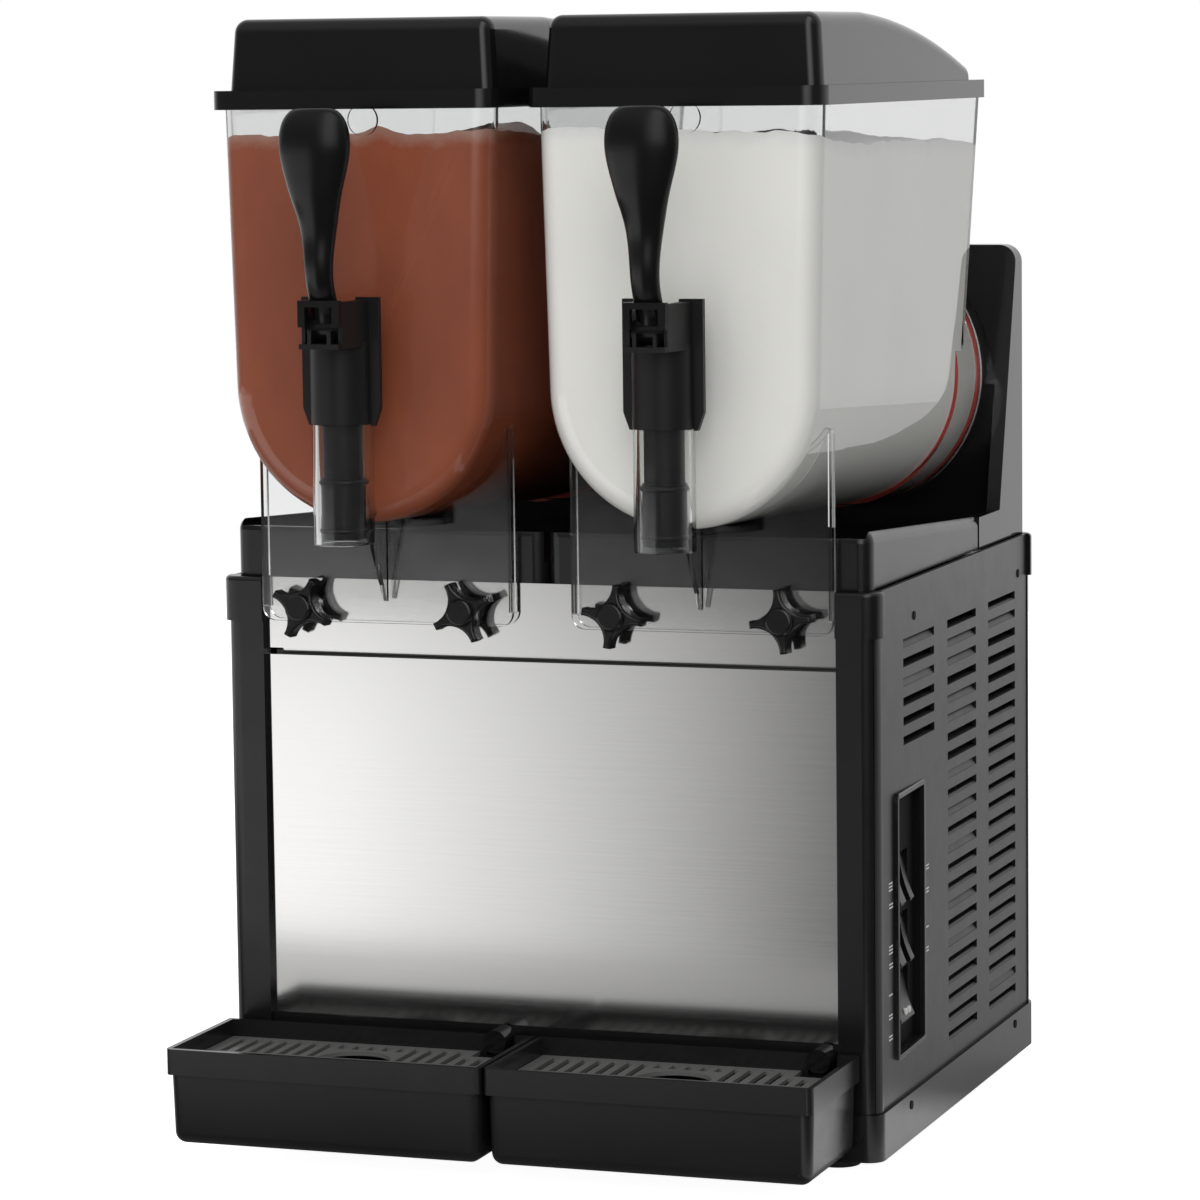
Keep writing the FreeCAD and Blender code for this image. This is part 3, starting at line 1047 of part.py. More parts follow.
doc.recompute()
failed = [item.Name for item in doc.Objects if "Invalid" in item.State or "Error" in item.State]
failed += [node for node, item in parts.items()
           if item.Shape.isNull() or not item.Shape.isValid() or not item.Shape.Solids]
if failed:
    raise RuntimeError("these have no valid shape: " + ", ".join(failed))

os.makedirs("parts", exist_ok=True)
for node, item in parts.items():
    item.Shape.exportStep(f"parts/{node}.step")
    print(node, len(item.Shape.Solids), round(item.Shape.Volume / 1000, 1))
print(len(parts), "nodes")
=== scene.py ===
import json
import math

import bmesh
import bpy
from mathutils import Matrix, Vector, noise


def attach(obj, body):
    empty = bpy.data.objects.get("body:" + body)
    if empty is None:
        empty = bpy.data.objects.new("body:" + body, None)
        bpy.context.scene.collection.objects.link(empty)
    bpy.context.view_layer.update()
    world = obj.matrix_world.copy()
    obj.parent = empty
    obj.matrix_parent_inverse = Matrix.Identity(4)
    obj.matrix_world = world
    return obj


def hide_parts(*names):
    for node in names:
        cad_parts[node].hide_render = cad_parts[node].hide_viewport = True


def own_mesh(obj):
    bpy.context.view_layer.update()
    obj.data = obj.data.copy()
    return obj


MM = 0.001
SIDES = {"left": -1, "right": 1}

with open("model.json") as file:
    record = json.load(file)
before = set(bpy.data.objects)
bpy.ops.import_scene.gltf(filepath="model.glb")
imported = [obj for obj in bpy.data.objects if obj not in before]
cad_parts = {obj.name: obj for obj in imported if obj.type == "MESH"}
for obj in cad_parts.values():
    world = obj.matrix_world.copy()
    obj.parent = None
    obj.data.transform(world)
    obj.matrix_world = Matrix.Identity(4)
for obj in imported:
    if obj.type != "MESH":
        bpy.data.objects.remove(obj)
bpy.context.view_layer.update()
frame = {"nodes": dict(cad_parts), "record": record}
nodes = frame["nodes"]


# Shader maths

class Field:
    """A value or a colour in a node tree. Python's operators add the nodes that work it out."""

    def __init__(self, tree, socket):
        self.tree = tree
        self.socket = socket

    def worked(self, operation, first, second):
        return self.tree.add("Math", {"operation": operation}, {0: first, 1: second})

    def __add__(self, other):
        return self.worked("ADD", self, other)

    def __sub__(self, other):
        return self.worked("SUBTRACT", self, other)

    def __rsub__(self, other):
        return self.worked("SUBTRACT", other, self)

    def __mul__(self, other):
        return self.worked("MULTIPLY", self, other)

    __radd__ = __add__
    __rmul__ = __mul__

    def __gt__(self, other):
        return self.worked("GREATER_THAN", self, other)

    def most(self, other):
        """The larger of the two."""
        return self.worked("MAXIMUM", self, other)

    def clipped(self, low, high):
        """Spread so that low and what lies below becomes 0, and high and what lies above becomes 1."""
        return self.tree.add("MapRange", {"clamp": True}, {"Value": self, "From Min": low, "From Max": high})


class Tree:
    """A node tree in the making."""

    def __init__(self, tree):
        self.tree = tree

    def feed(self, socket, value):
        """Links a Field to the socket, or sets the socket's own value."""
        if isinstance(value, Field):
            self.tree.links.new(value.socket, socket)
        elif isinstance(value, tuple) and len(value) == 3 and socket.type == "RGBA":
            socket.default_value = (*value, 1.0)
        else:
            socket.default_value = value

    def add(self, kind, settings=None, sockets=None, out=0):
        """Adds a node: its settings first, then its sockets."""
        node = self.tree.nodes.new("ShaderNode" + kind)
        for label, value in (settings or {}).items():
            setattr(node, label, value)
        for label, value in (sockets or {}).items():
            self.feed(node.inputs[label], value)
        return Field(self, node.outputs[out]) if node.outputs else node

    def light_path(self, out):
        return self.add("LightPath", out=out)

    def blend(self, part, low, high):
        """The colour low where part is 0 and high where it is 1."""
        return self.add("Mix", {"data_type": "RGBA"}, {0: part, 6: low, 7: high}, out=2)


class Finish(Tree):
    """A material in the making."""

    def __init__(self, name, colour, roughness, **fixed):
        self.material = bpy.data.materials.new(name)
        self.material.use_nodes = True
        super().__init__(self.material.node_tree)
        self.surface = self.tree.nodes["Principled BSDF"]
        self.put("Base Color", colour)
        self.put("Roughness", roughness)
        for label, value in fixed.items():
            self.put(label.replace("_", " "), value)

    def put(self, label, value):
        self.feed(self.surface.inputs[label], value)
        return self

    def place(self):
        """The point's place, in metres, in the piece's own frame."""
        return self.add("TexCoord", out="Object")

    def along(self, axis):
        return self.add("SeparateXYZ", None, {0: self.place()}, out=axis)

    def stretched(self, x, y, z):
        """The place scaled along each axis, for noise that is longer one way."""
        return self.add("Mapping", {"vector_type": "POINT"}, {"Vector": self.place(), "Scale": (x, y, z)})

    def cloud(self, scale, detail=3.0, rough=0.5, where=None):
        """Noise about 0.5, its size given by its scale per metre."""
        return self.add("TexNoise", None, {"Vector": where or self.place(), "Scale": scale,
                                           "Detail": detail, "Roughness": rough})

    def raised(self, height, distance, strength=1.0):
        """Bumps the surface; the distance is the depth in metres that a height of 1 stands for."""
        normal = self.add("Bump", None, {"Height": height, "Distance": distance, "Strength": strength})
        return self.put("Normal", normal)


FINE_GRAIN, POLISHED_GRAIN = (0.00004, 1500), (0.00001, 300)


def drifting(name, colour, roughness, **fixed):
    """Plastic or paint whose shade and gloss drift faintly over the whole piece."""
    finish = Finish(name, colour, roughness, **fixed)
    drift = finish.cloud(9, 2).clipped(0.3, 0.7)
    worn = tuple(min(1.0, part * 1.25 + 0.001) for part in colour)
    finish.put("Base Color", finish.blend(drift, colour, worn))
    return finish.put("Roughness", finish.cloud(60, 3).clipped(0.2, 0.8) * 0.06 + (roughness - 0.03))


def grained(name, colour, roughness, grain=FINE_GRAIN, **fixed):
    """Moulded plastic. The grain is its depth in metres, and its scale."""
    finish = drifting(name, colour, roughness, **fixed)
    depth, scale = grain
    return finish.raised(finish.cloud(scale, 2), depth)


def dulled(name, colour, roughness, specular, grain=FINE_GRAIN):
    """A moulding that mirrors less than its gloss would have it."""
    return grained(name, colour, roughness, grain).put("Specular IOR Level", specular)


def black_sheet():
    """Painted sheet of the sides and back, with the slight waviness of a sprayed coat."""
    finish = drifting("black_sheet", (0.006, 0.006, 0.0065), 0.3, IOR=1.5)
    orange_peel = finish.cloud(900, 2) + finish.cloud(35, 2) * 6
    return finish.raised(orange_peel, 0.00003)


def brushed_front():
    """Stainless sheet, its brushing level from side to side."""
    dark, bright = (0.69, 0.685, 0.675), (0.75, 0.745, 0.735)
    finish = Finish("brushed_front", dark, 0.1, Metallic=1.0, Anisotropic=0.6, Anisotropic_Rotation=0.25)
    lines = finish.cloud(1, 4, 0.6, finish.stretched(14, 14, 5200))
    finish.put("Base Color", finish.blend(lines.clipped(0.35, 0.65), dark, bright))
    finish.put("Roughness", lines.clipped(0.3, 0.7) * 0.04 + 0.08)
    buckled = finish.cloud(7, 1)
    return finish.raised(lines + buckled * 40, 0.000002)


def turned_steel(name, colour, roughness):
    """Machined metal with fine lines round it."""
    finish = Finish(name, colour, roughness, Metallic=1.0)
    lines = finish.cloud(1, 3, 0.6, finish.stretched(2500, 60, 2500))
    finish.put("Roughness", lines * 0.15 + (roughness - 0.07))
    return finish.raised(lines, 0.00001)


def clear_moulding():
    """The bowls' clear plastic: paler in the apron, and with the faint swirl that its moulding leaves."""
    walls, apron = (0.86, 0.866, 0.863), (0.945, 0.95, 0.948)
    finish = Finish("clear_moulding", walls, 0.02, IOR=1.46, Transmission_Weight=1.0)
    finish.put("Base Color", finish.blend(finish.along("Z").clipped(0.315, 0.33), apron, walls))
    finish.put("Roughness", finish.cloud(14, 3).clipped(0.3, 0.7) * 0.03 + 0.01)
    return finish.raised(finish.cloud(25, 2), 0.00006)


def frozen(name, deep, pale, frost_and_shade, strength):
    """Frozen drink: slow swirls of shade, fine ice grain, and a ragged band near its top: frost on the
    chocolate, painted grey shade on the milk.

    The point attribute "depth" is how far below the level a point lies, in metres."""
    finish = Finish(name, deep, 0.45, IOR=1.33)
    swirl = finish.cloud(1, 4, 0.55, finish.stretched(22, 12, 9)).clipped(0.3, 0.7)
    body = finish.blend(swirl, deep, pale)
    depth = finish.add("Attribute", {"attribute_name": "depth"}, out="Fac")
    ragged = finish.cloud(90, 4, 0.65) * 0.01 + depth
    # The band near the top: frost on the chocolate, painted grey shade on the milk
    edge = 1 - ragged.clipped(0.004, 0.0135)
    finish.put("Base Color", finish.blend(edge * strength, body, frost_and_shade))
    grain = finish.cloud(700, 3, 0.6) + finish.cloud(45, 3) * 2
    return finish.raised(grain, 0.0002, 0.6)


def copper_tube():
    bright, tarnished = (0.75, 0.42, 0.28), (0.42, 0.22, 0.14)
    finish = Finish("copper_tube", bright, 0.3, Metallic=1.0)
    tarnish = finish.cloud(40, 4).clipped(0.35, 0.75)
    finish.put("Base Color", finish.blend(tarnish, bright, tarnished))
    return finish.put("Roughness", tarnish * 0.25 + 0.22)


RUBBER_GRAIN, PAINT_GRAIN = (0.00008, 700), (0.00006, 500)
MATT_BLACK = (0.0035, 0.0035, 0.0037)

MOULDING = grained("black_moulding", (0.0038, 0.0038, 0.0042), 0.2, IOR=1.5)
SHEET = black_sheet()
GLOSS = grained("gloss_black", (0.004, 0.004, 0.0045), 0.1, (0.00001, 220), IOR=1.48)
HANDLE = dulled("handle_black", (0.004, 0.004, 0.0044), 0.24, 0.24, POLISHED_GRAIN)
TAP = dulled("tap_black", (0.0075, 0.0075, 0.0078), 0.4, 0.25)
LOUVRE = dulled("louvre_black", (0.007, 0.007, 0.0075), 0.4, 0.3)
RECESS = dulled("switch_recess", MATT_BLACK, 0.7, 0.12)
SCREW = dulled("screw_black", MATT_BLACK, 0.7, 0.12)
STEEL = brushed_front()
TURNED = turned_steel("turned_steel", (0.55, 0.55, 0.56), 0.25)
CLEAR = clear_moulding()
TRAY = grained("tray_moulding", (0.0085, 0.0085, 0.009), 0.2, IOR=1.5)
# Painted sheen: the grates' grey stands in for the light their glossy surface mirrors
GRATE_SHEEN = grained("grate_painted_sheen", (0.12, 0.119, 0.117), 0.4, IOR=1.5)
RED = grained("red_seal", (0.42, 0.035, 0.02), 0.6, RUBBER_GRAIN)
RUBBER = grained("black_rubber", (0.012, 0.012, 0.012), 0.6, RUBBER_GRAIN)
WHITE = grained("white_moulding", (0.72, 0.72, 0.7), 0.4)
PAINT = grained("dark_paint", (0.015, 0.015, 0.017), 0.4, PAINT_GRAIN)
FINS = turned_steel("thin_fins", (0.75, 0.76, 0.77), 0.3)
COPPER = copper_tube()
DRINKS = {
    "left": frozen("chocolate_ice", (0.215, 0.053, 0.024), (0.285, 0.075, 0.035), (0.38, 0.28, 0.235), 0.6),
    # The milk's grey band near its top is painted shade
    "right": frozen("milk_ice", (0.78, 0.772, 0.735), (0.82, 0.812, 0.77), (0.64, 0.65, 0.66), 0.65),
}

SLOT_FINISHES = {
    "black_plastic": MOULDING, "side_sheet": SHEET, "gloss_lid": GLOSS, "steel_front": STEEL,
    "bright_steel": TURNED, "clear_plastic": CLEAR, "chocolate_slush": DRINKS["left"],
    "milk_slush": DRINKS["right"], "red_rubber": RED, "black_rubber": RUBBER, "white_plastic": WHITE,
    "dark_paint": PAINT, "fins": FINS, "copper": COPPER,
}
# Nodes that look different from the rest of their slot
OWN_FINISHES = {"case_screws": SCREW, "switch_bezel": RECESS, "tower": GLOSS}
for label in SIDES:
    for own_name, own_finish in (("tap_handle_", HANDLE), ("tap_barrel_", TAP), ("tap_piston_", TAP),
                                 ("drip_tray_", TRAY), ("grate_", GRATE_SHEEN)):
        OWN_FINISHES[own_name + label] = own_finish


def dress_nodes():
    for entry in frame["record"]["subparts"]:
        finish = OWN_FINISHES.get(entry["node"], SLOT_FINISHES[entry["material_slot"]])
        slots = nodes[entry["node"]].data.materials
        slots.clear()
        slots.append(finish.material)
    # Light passes the clear bowls to the drink and the steel behind them
    for label in SIDES:
        nodes["bowl_" + label].visible_shadow = False
        nodes["bowl_" + label].visible_diffuse = False


# Meshes, in millimetres

# Edges sharper than this many degrees stay sharp: on most pieces, on fine ones and on swept ones
SMOOTH, SMOOTH_FINE, SMOOTH_SWEPT = 35.0, 30.0, 50.0


def skin(rows, closed=True):
    """Quads between rows of equal length; each row is a ring if closed."""
    count = len(rows[0])
    faces = []
    for row in range(len(rows) - 1):
        for step in range(count if closed else count - 1):
            after = (step + 1) % count
            faces.append((row * count + step, row * count + after,
                          (row + 1) * count + after, (row + 1) * count + step))
    return [point for row in rows for point in row], faces


def box_of(x, y, z):
    """The points and faces of a box between the limits x, y and z."""
    points = [(x[i], y[j], z[k]) for i in (0, 1) for j in (0, 1) for k in (0, 1)]
    return points, [(0, 1, 3, 2), (4, 6, 7, 5), (0, 4, 5, 1), (2, 3, 7, 6), (0, 2, 6, 4), (1, 5, 7, 3)]


def gathered(parts):
    """Several (points, faces) lists as one."""
    points, faces = [], []
    for part_points, part_faces in parts:
        start = len(points)
        points += part_points
        faces += [tuple(start + corner for corner in face) for face in part_faces]
    return points, faces


def in_scene(name, data):
    thing = bpy.data.objects.new(name, data)
    bpy.context.scene.collection.objects.link(thing)
    return thing


def loose(name, points, faces):
    """A bare shape in millimetres, not yet a piece."""
    mesh = bpy.data.meshes.new(name)
    mesh.from_pydata([(x * MM, y * MM, z * MM) for x, y, z in points], [], faces)
    shape = bmesh.new()
    shape.from_mesh(mesh)
    bmesh.ops.remove_doubles(shape, verts=shape.verts, dist=1e-6)
    bmesh.ops.recalc_face_normals(shape, faces=shape.faces)
    shape.to_mesh(mesh)
    shape.free()
    return in_scene(name, mesh)


def finished(thing, finish, body, smooth=SMOOTH):
    """Shades a bare shape, gives it its finish and puts it on its body."""
    mesh = thing.data
    mesh.polygons.foreach_set("use_smooth", [True] * len(mesh.polygons))
    mesh.set_sharp_from_angle(angle=math.radians(smooth))
    mesh.materials.clear()
    mesh.materials.append(finish.material)
    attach(thing, body)
    return thing


def made(name, points, faces, finish, body, slot, smooth=SMOOTH):
    """A piece from its points and faces, riding on a body."""
    return finished(loose(name, points, faces), finish, body, smooth)


def carved(thing, tool, operation):
    """Joins the tool to the piece, or cuts the piece with it, and removes the tool."""
    change = thing.modifiers.new("carving", "BOOLEAN")
    change.object, change.operation, change.solver = tool, operation, "EXACT"
    bpy.context.view_layer.update()
    result = bpy.data.meshes.new_from_object(thing.evaluated_get(bpy.context.evaluated_depsgraph_get()))
    thing.modifiers.clear()
    old, thing.data = thing.data, result
    bpy.data.meshes.remove(old)
    bpy.data.objects.remove(tool)


# Frozen drink

# How far each bowl's middle lies from the machine's
BOWL_CENTRE = 96.6
# The auger's axis rises to the front from the middle of the bowl's rear rim
AXIS_SLOPE = math.radians(2.4)
RIM_Y, RIM_Z = 182.0, 440.5
BOWL_FRONT, BOWL_BACK, BOWL_TOP = -164.0, 178.0, 617.0
# Half the trough's width at the axis and at the top; its walls flare outward over the height between
BOWL_RADIUS, BOWL_TOP_HALF, FLARE_HEIGHT = 79.8, 84.5, 190.0
BOWL_ROUND = 13.5
# About how far the drink stands above the axis
DRINK_TALL = 150.0
# The drink reaches a little into the 3.5 mm wall, so that no gap shows between them
WALL_INSET = 3.1
BACK_LEAN = math.tan(math.radians(9))
COLLAR_BORE, COLLAR_ENDS = 78.2, (-44, -2)
AUGER_ROOM, AUGER_ENDS = 73.5, (-326, 20)

LEVEL_REAR, LEVEL_LIMIT = 587.0, 609.0
FRONT_RISE, FRONT_REACH, REAR_FALL = 9.5, 45.0, 0.012
# Swells of the drink's top at (x from the bowl's middle, y): height, and how far they reach in x and y
SWELLS = {
    "left": ((80, -112, 13.0, 25, 30), (15, -160, 4.5, 7, 16), (-30, -160, 1.5, 40, 30),
             (0, 30, 6, 50, 60)),
    "right": ((-60, -165, 4.0, 45, 25), (10, 20, 8, 45, 70), (-20, -110, 5, 30, 20),
              (30, -140, 2.5, 12, 12)),
}
# Ripples: how close in x and y, and how high
RIPPLES = ((0.05, 0.04, 1.8), (0.13, 0.09, 1.3), (0.27, 0.2, 0.6))
RIPPLE_PLACE = {"left": 5.0, "right": 11.0}


def axis_height(y):
    return RIM_Z + math.tan(AXIS_SLOPE) * (RIM_Y - y)


def ice_level(label, x, y):
    """Height of the drink: high at the front, lower to the rear, with a few swells and ripples."""
    level = LEVEL_REAR + FRONT_RISE * math.exp((-160.0 - y) / FRONT_REACH) - REAR_FALL * max(y, 0.0)
    for middle, at, height, wide, deep in SWELLS[label]:
        level += height * math.exp(-((x - middle) / wide) ** 2 / 2 - ((y - at) / deep) ** 2 / 2)
    for number, (close_x, close_y, height) in enumerate(RIPPLES, start=1):
        level += noise.noise(Vector((x * close_x, y * close_y, RIPPLE_PLACE[label] * number))) * height
    return min(level, LEVEL_LIMIT)


def bowl_rod(name, centre, radius, ends, sides=72):
    """A rod on the bowl's sloping axis; its ends are measured backwards from the rear rim."""
    lean = math.sin(AXIS_SLOPE), math.cos(AXIS_SLOPE)
    rows = []
    for along in ends:
        row = []
        for step in range(sides):
            turn = math.tau * step / sides
            across, up = radius * math.cos(turn), radius * math.sin(turn)
            row.append((centre + across, RIM_Y + along * lean[1] + up * lean[0],
                        RIM_Z - along * lean[0] + up * lean[1]))
        rows.append(row)
    points, faces = skin(rows)
    faces += [tuple(range(sides)), tuple(range(sides, 2 * sides))]
    return loose(name, points, faces)


def trough_stations():
    """Places along the trough, as (y, how much narrower it is there): its round front edge, then the rest."""
    edge = BOWL_ROUND - WALL_INSET
    front = BOWL_FRONT + WALL_INSET
    turns = [math.radians(turn) for turn in range(0, 91, 9)]
    stations = [(front + edge * (1 - math.cos(turn)), edge * (1 - math.sin(turn))) for turn in turns]
    past_back = BOWL_BACK - WALL_INSET + 4
    steps = 90
    return stations + [(front + edge + (past_back - front - edge) * step / steps, 0.0)
                       for step in range(1, steps + 1)]


def trough_ring(label, centre, y, narrower):
    """One upright ring of the filling: down the right wall, round the floor, up the left and over the top."""
    rise_steps, floor_steps, top_steps = 14, 40, 24
    radius = BOWL_RADIUS - WALL_INSET - narrower
    flare = (BOWL_TOP_HALF - BOWL_RADIUS) / FLARE_HEIGHT
    middle = axis_height(y)
    walls = []
    for hand in (1, -1):
        tall = ice_level(label, hand * (radius + flare * DRINK_TALL), y) - middle
        walls.append([(centre + hand * (radius + flare * tall * step / rise_steps), y,
                       middle + tall * step / rise_steps) for step in range(rise_steps + 1)])
    turns = [math.pi * step / floor_steps for step in range(1, floor_steps)]
    ring = walls[0][::-1]
    ring += [(centre + radius * math.cos(turn), y, middle - radius * math.sin(turn)) for turn in turns]
    ring += walls[1]
    wide = (ring[0][0] - ring[-1][0]) / 2
    return ring + [(centre + wide * across, y, ice_level(label, wide * across, y))
                   for across in (-1 + step / top_steps for step in range(1, 2 * top_steps))]


def trough_filling(label, centre):
    """The trough's inside up to the drink's level, as far back as its leaning rear wall."""
    rings = [trough_ring(label, centre, y, narrower) for y, narrower in trough_stations()]
    points, faces = skin(rings)
    count = len(rings[0])
    for start, ring in ((0, rings[0]), (len(points) - count, rings[-1])):
        middle = len(points)
        points.append((centre, ring[0][1], axis_height(ring[0][1])))
        faces += [(start + step, start + (step + 1) % count, middle) for step in range(count)]
    thing = loose("frozen_drink_" + label, points, faces)
    shape = bmesh.new()
    shape.from_mesh(thing.data)
    cut = bmesh.ops.bisect_plane(shape, geom=shape.verts[:] + shape.edges[:] + shape.faces[:], dist=1e-7,
                                 plane_co=(0, (BOWL_BACK - WALL_INSET) * MM, BOWL_TOP * MM),
                                 plane_no=(0, 1, -BACK_LEAN), clear_outer=True)["geom_cut"]
    bmesh.ops.edgeloop_fill(shape, edges=[edge for edge in cut if isinstance(edge, bmesh.types.BMEdge)])
    bmesh.ops.recalc_face_normals(shape, faces=shape.faces)
    shape.to_mesh(thing.data)
    shape.free()
    return thing


def frozen_drink(label, side):
    """The drink, pressed against the bowl's inside and round the auger's sweep, with a churned top."""
    centre = BOWL_CENTRE * side
    thing = trough_filling(label, centre)
    carved(thing, bowl_rod("collar_filling", centre, COLLAR_BORE, COLLAR_ENDS), "UNION")
    carved(thing, bowl_rod("auger_room", centre, AUGER_ROOM, AUGER_ENDS), "DIFFERENCE")
    depth = thing.data.attributes.new("depth", "FLOAT", "POINT")
    for number, vertex in enumerate(thing.data.vertices):
        x, y, z = vertex.co / MM
        depth.data[number].value = (ice_level(label, x - centre, y) - z) * MM
    finished(thing, DRINKS[label], "bowl_" + label, SMOOTH_SWEPT)
    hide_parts("slush_" + label)


# Louvres: under each slot a thin blade is pressed in and up

SIDE_FACE, REAR_FACE = 199.4, 229.6
SLOT_TALL, SLOT_TOP, REAR_SLOT_TOP, SLOT_STEP = 5.0, 304.7, 284.7, 11.33
# How each blade goes inward (first number) and up (second number) from the slot's lower edge:
# very steep, steep, middling and deep in the sides, and one that closes the slots of the rear
BLADES = {
    "v": ((0.3, 0.05), (1.5, 2.5), (2.5, 4.4), (3.6, 5.6)),
    "s": ((0.3, 0.05), (2.0, 2.6), (3.2, 4.1), (4.6, 5.2)),
    "m": ((0.3, 0.05), (1.2, 0.95), (2.4, 1.25), (8.0, 2.1)),
    "d": ((0.3, 0.05), (1.4, 0.5), (5.0, 0.9), (9.6, 1.6)),
    "r": ((0.3, 0.05), (1.8, 2.2), (3.2, 4.2), (4.6, 6.6)),
}
# Columns of slots: where they start and end, and their blades from the top down
SIDE_COLUMNS = ((-66.4, 0.5, "sdvddd"), (30.0, 96.0, "dssdssddvmsmvmmsmvmmmmm"),
                (125.0, 190.5, "msddddmmmmmmmmmmmmmmmvm"))
REAR_COLUMNS = tuple((start, start + 90.0, "r" * 17) for start in (-150.0, -45.0, 60.0))
BLADE_THICK, BLADE_GAP = 0.7, 0.05


def blade(kind, near, far, foot):
    """A blade's points as (along the slot, inward, up), and its faces. Its ends taper inward."""
    rows = []
    for thick, profile in ((0.0, BLADES[kind]), (BLADE_THICK, BLADES[kind][::-1])):
        for depth, rise in profile:
            taper = BLADE_GAP + 1.6 * min(max(depth - 1.0, 0.0), 2.5)
            inner, height = depth + thick * 0.75, foot + rise - thick * 0.65
            rows.append([(near + taper, inner, height), (far - taper, inner, height)])
    points, faces = skin(rows + rows[:1], closed=False)
    faces += [tuple(range(0, 2 * len(rows), 2)), tuple(range(1, 2 * len(rows), 2))]
    return points, faces


def louvres(name, columns, top, placed):
    """All blades of one panel; placed turns (along the slot, inward, up) into (x, y, z)."""
    parts = []
    for near, far, kinds in columns:
        for row, kind in enumerate(kinds):
            points, faces = blade(kind, near, far, top - SLOT_STEP * row - SLOT_TALL)
            parts.append(([placed(*point) for point in points], faces))
    made(name, *gathered(parts), LOUVRE, "machine", "side_sheet", SMOOTH_SWEPT)


def all_louvres():
    louvres("louvres_right", SIDE_COLUMNS, SLOT_TOP, lambda y, depth, z: (SIDE_FACE - depth, y, z))
    louvres("louvres_left", SIDE_COLUMNS, SLOT_TOP, lambda y, depth, z: (depth - SIDE_FACE, y, z))
    louvres("louvres_rear", REAR_COLUMNS, REAR_SLOT_TOP, lambda x, depth, z: (x, REAR_FACE - depth, z))


# Switches on the right side

# The opening's near and far end and its height; the lip's foot, and its profile as (rise, distance out)
OPENING_Y, OPENING_Z, OPENING_ROUND = (-84.0, -24.0), (65.0, 214.0), 1.0
LIP_FOOT = 199.42
LIP = ((0.0, 3.6), (1.9, 3.5), (2.3, 3.1), (2.45, 0.9), (2.2, 0.4), (0.0, 0.1))
# The lip's height at the rear, as a share of its height at the front
LIP_REAR = 0.12


def switch_frame():
    """The lip round the switches' opening, lower towards the rear."""
    near, far = OPENING_Y
    low, high = OPENING_Z
    corners = ((far, -1, high, -1), (near, 1, high, -1), (near, 1, low, 1), (far, -1, low, 1))
    rows = []
    for rise, out in LIP:
        radius = OPENING_ROUND + out
        row = []
        for quarter, (corner_y, inward_y, corner_z, inward_z) in enumerate(corners):
            for step in range(7):
                turn = math.radians(90 * quarter + 15 * step)
                y = corner_y + inward_y * OPENING_ROUND + radius * math.cos(turn)
                z = corner_z + inward_z * OPENING_ROUND + radius * math.sin(turn)
                forward = min(max((far - y) / (far - near), 0.0), 1.0)
                row.append((LIP_FOOT + rise * (LIP_REAR + (1 - LIP_REAR) * forward), y, z))
        rows.append(row)
    points, faces = skin(rows + rows[:1])
    made("switch_frame", points, faces, MOULDING, "machine", "black_plastic", SMOOTH_FINE)


# Sections as (x, height above the hinge): a rocker, the groove of the upper two, and a small white lens, a
# painted highlight
ROCKER_FACE = ((182.8, 11.8), (189.4, 11.9), (190.6, 9.5), (191.6, 4.5), (192.7, -1.0), (194.2, -6.5),
               (196.0, -11.5), (197.7, -15.4), (197.2, -16.7), (195.0, -16.9), (193.8, -13.2),
               (192.4, -12.4), (182.8, -11.8))
GROOVE_FACE = ((182.8, 11.0), (187.5, 11.0), (189.0, 4.0), (190.2, -2.0), (192.0, -8.0), (193.0, -11.6),
               (182.8, -11.4))
HIGHLIGHT_FACE = ((195.4, -2.0), (196.8, -2.0), (197.2, -1.0), (197.2, 1.0), (196.4, 2.0), (195.0, 2.0))
HIGHLIGHT_HEIGHT = 84.4
ROCKER_HINGES = {"top": 165.5, "middle": 129.5, "low": 96.0}
# Distance from an end, and the section's size there
END_BEVEL = ((0.0, 0.955), (0.5, 0.99), (1.0, 1.0))


def extruded(face, near, far, z):
    """A section drawn along Y, with a small bevel at both ends."""
    middle_x = sum(x for x, up in face) / len(face)
    middle_up = sum(up for x, up in face) / len(face)
    ends = [(near + inward, size) for inward, size in END_BEVEL]
    ends += [(far - inward, size) for inward, size in END_BEVEL[::-1]]
    rows = [[(middle_x + (x - middle_x) * size, y, z + middle_up + (up - middle_up) * size)
             for x, up in face] for y, size in ends]
    points, faces = skin(rows)
    count = len(face)
    return points, faces + [tuple(range(count)), tuple(range(len(points) - count, len(points)))]


def rockers():
    """Three rockers, hollow in front and standing out at the foot; the upper two have a groove."""
    for label, z in ROCKER_HINGES.items():
        if label == "low":
            parts = [extruded(ROCKER_FACE, -67.0, -39.0, z)]
        else:
            parts = [extruded(ROCKER_FACE, -67.0, -56.0, z), extruded(GROOVE_FACE, -56.6, -46.4, z),
                     extruded(ROCKER_FACE, -47.0, -39.0, z)]
        thing = made("rocker_cap_" + label, *gathered(parts), HANDLE, "switch_" + label, "black_plastic",
                     SMOOTH_FINE)
        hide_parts("rocker_" + label)
    # Two small white lenses on the low rocker paint the highlight seen there
    highlight_marks = [extruded(HIGHLIGHT_FACE, y, y + 4, HIGHLIGHT_HEIGHT) for y in (-56.0, -49.0)]
    made("switch_painted_highlight", *gathered(highlight_marks), WHITE, "switch_low", "white_plastic")


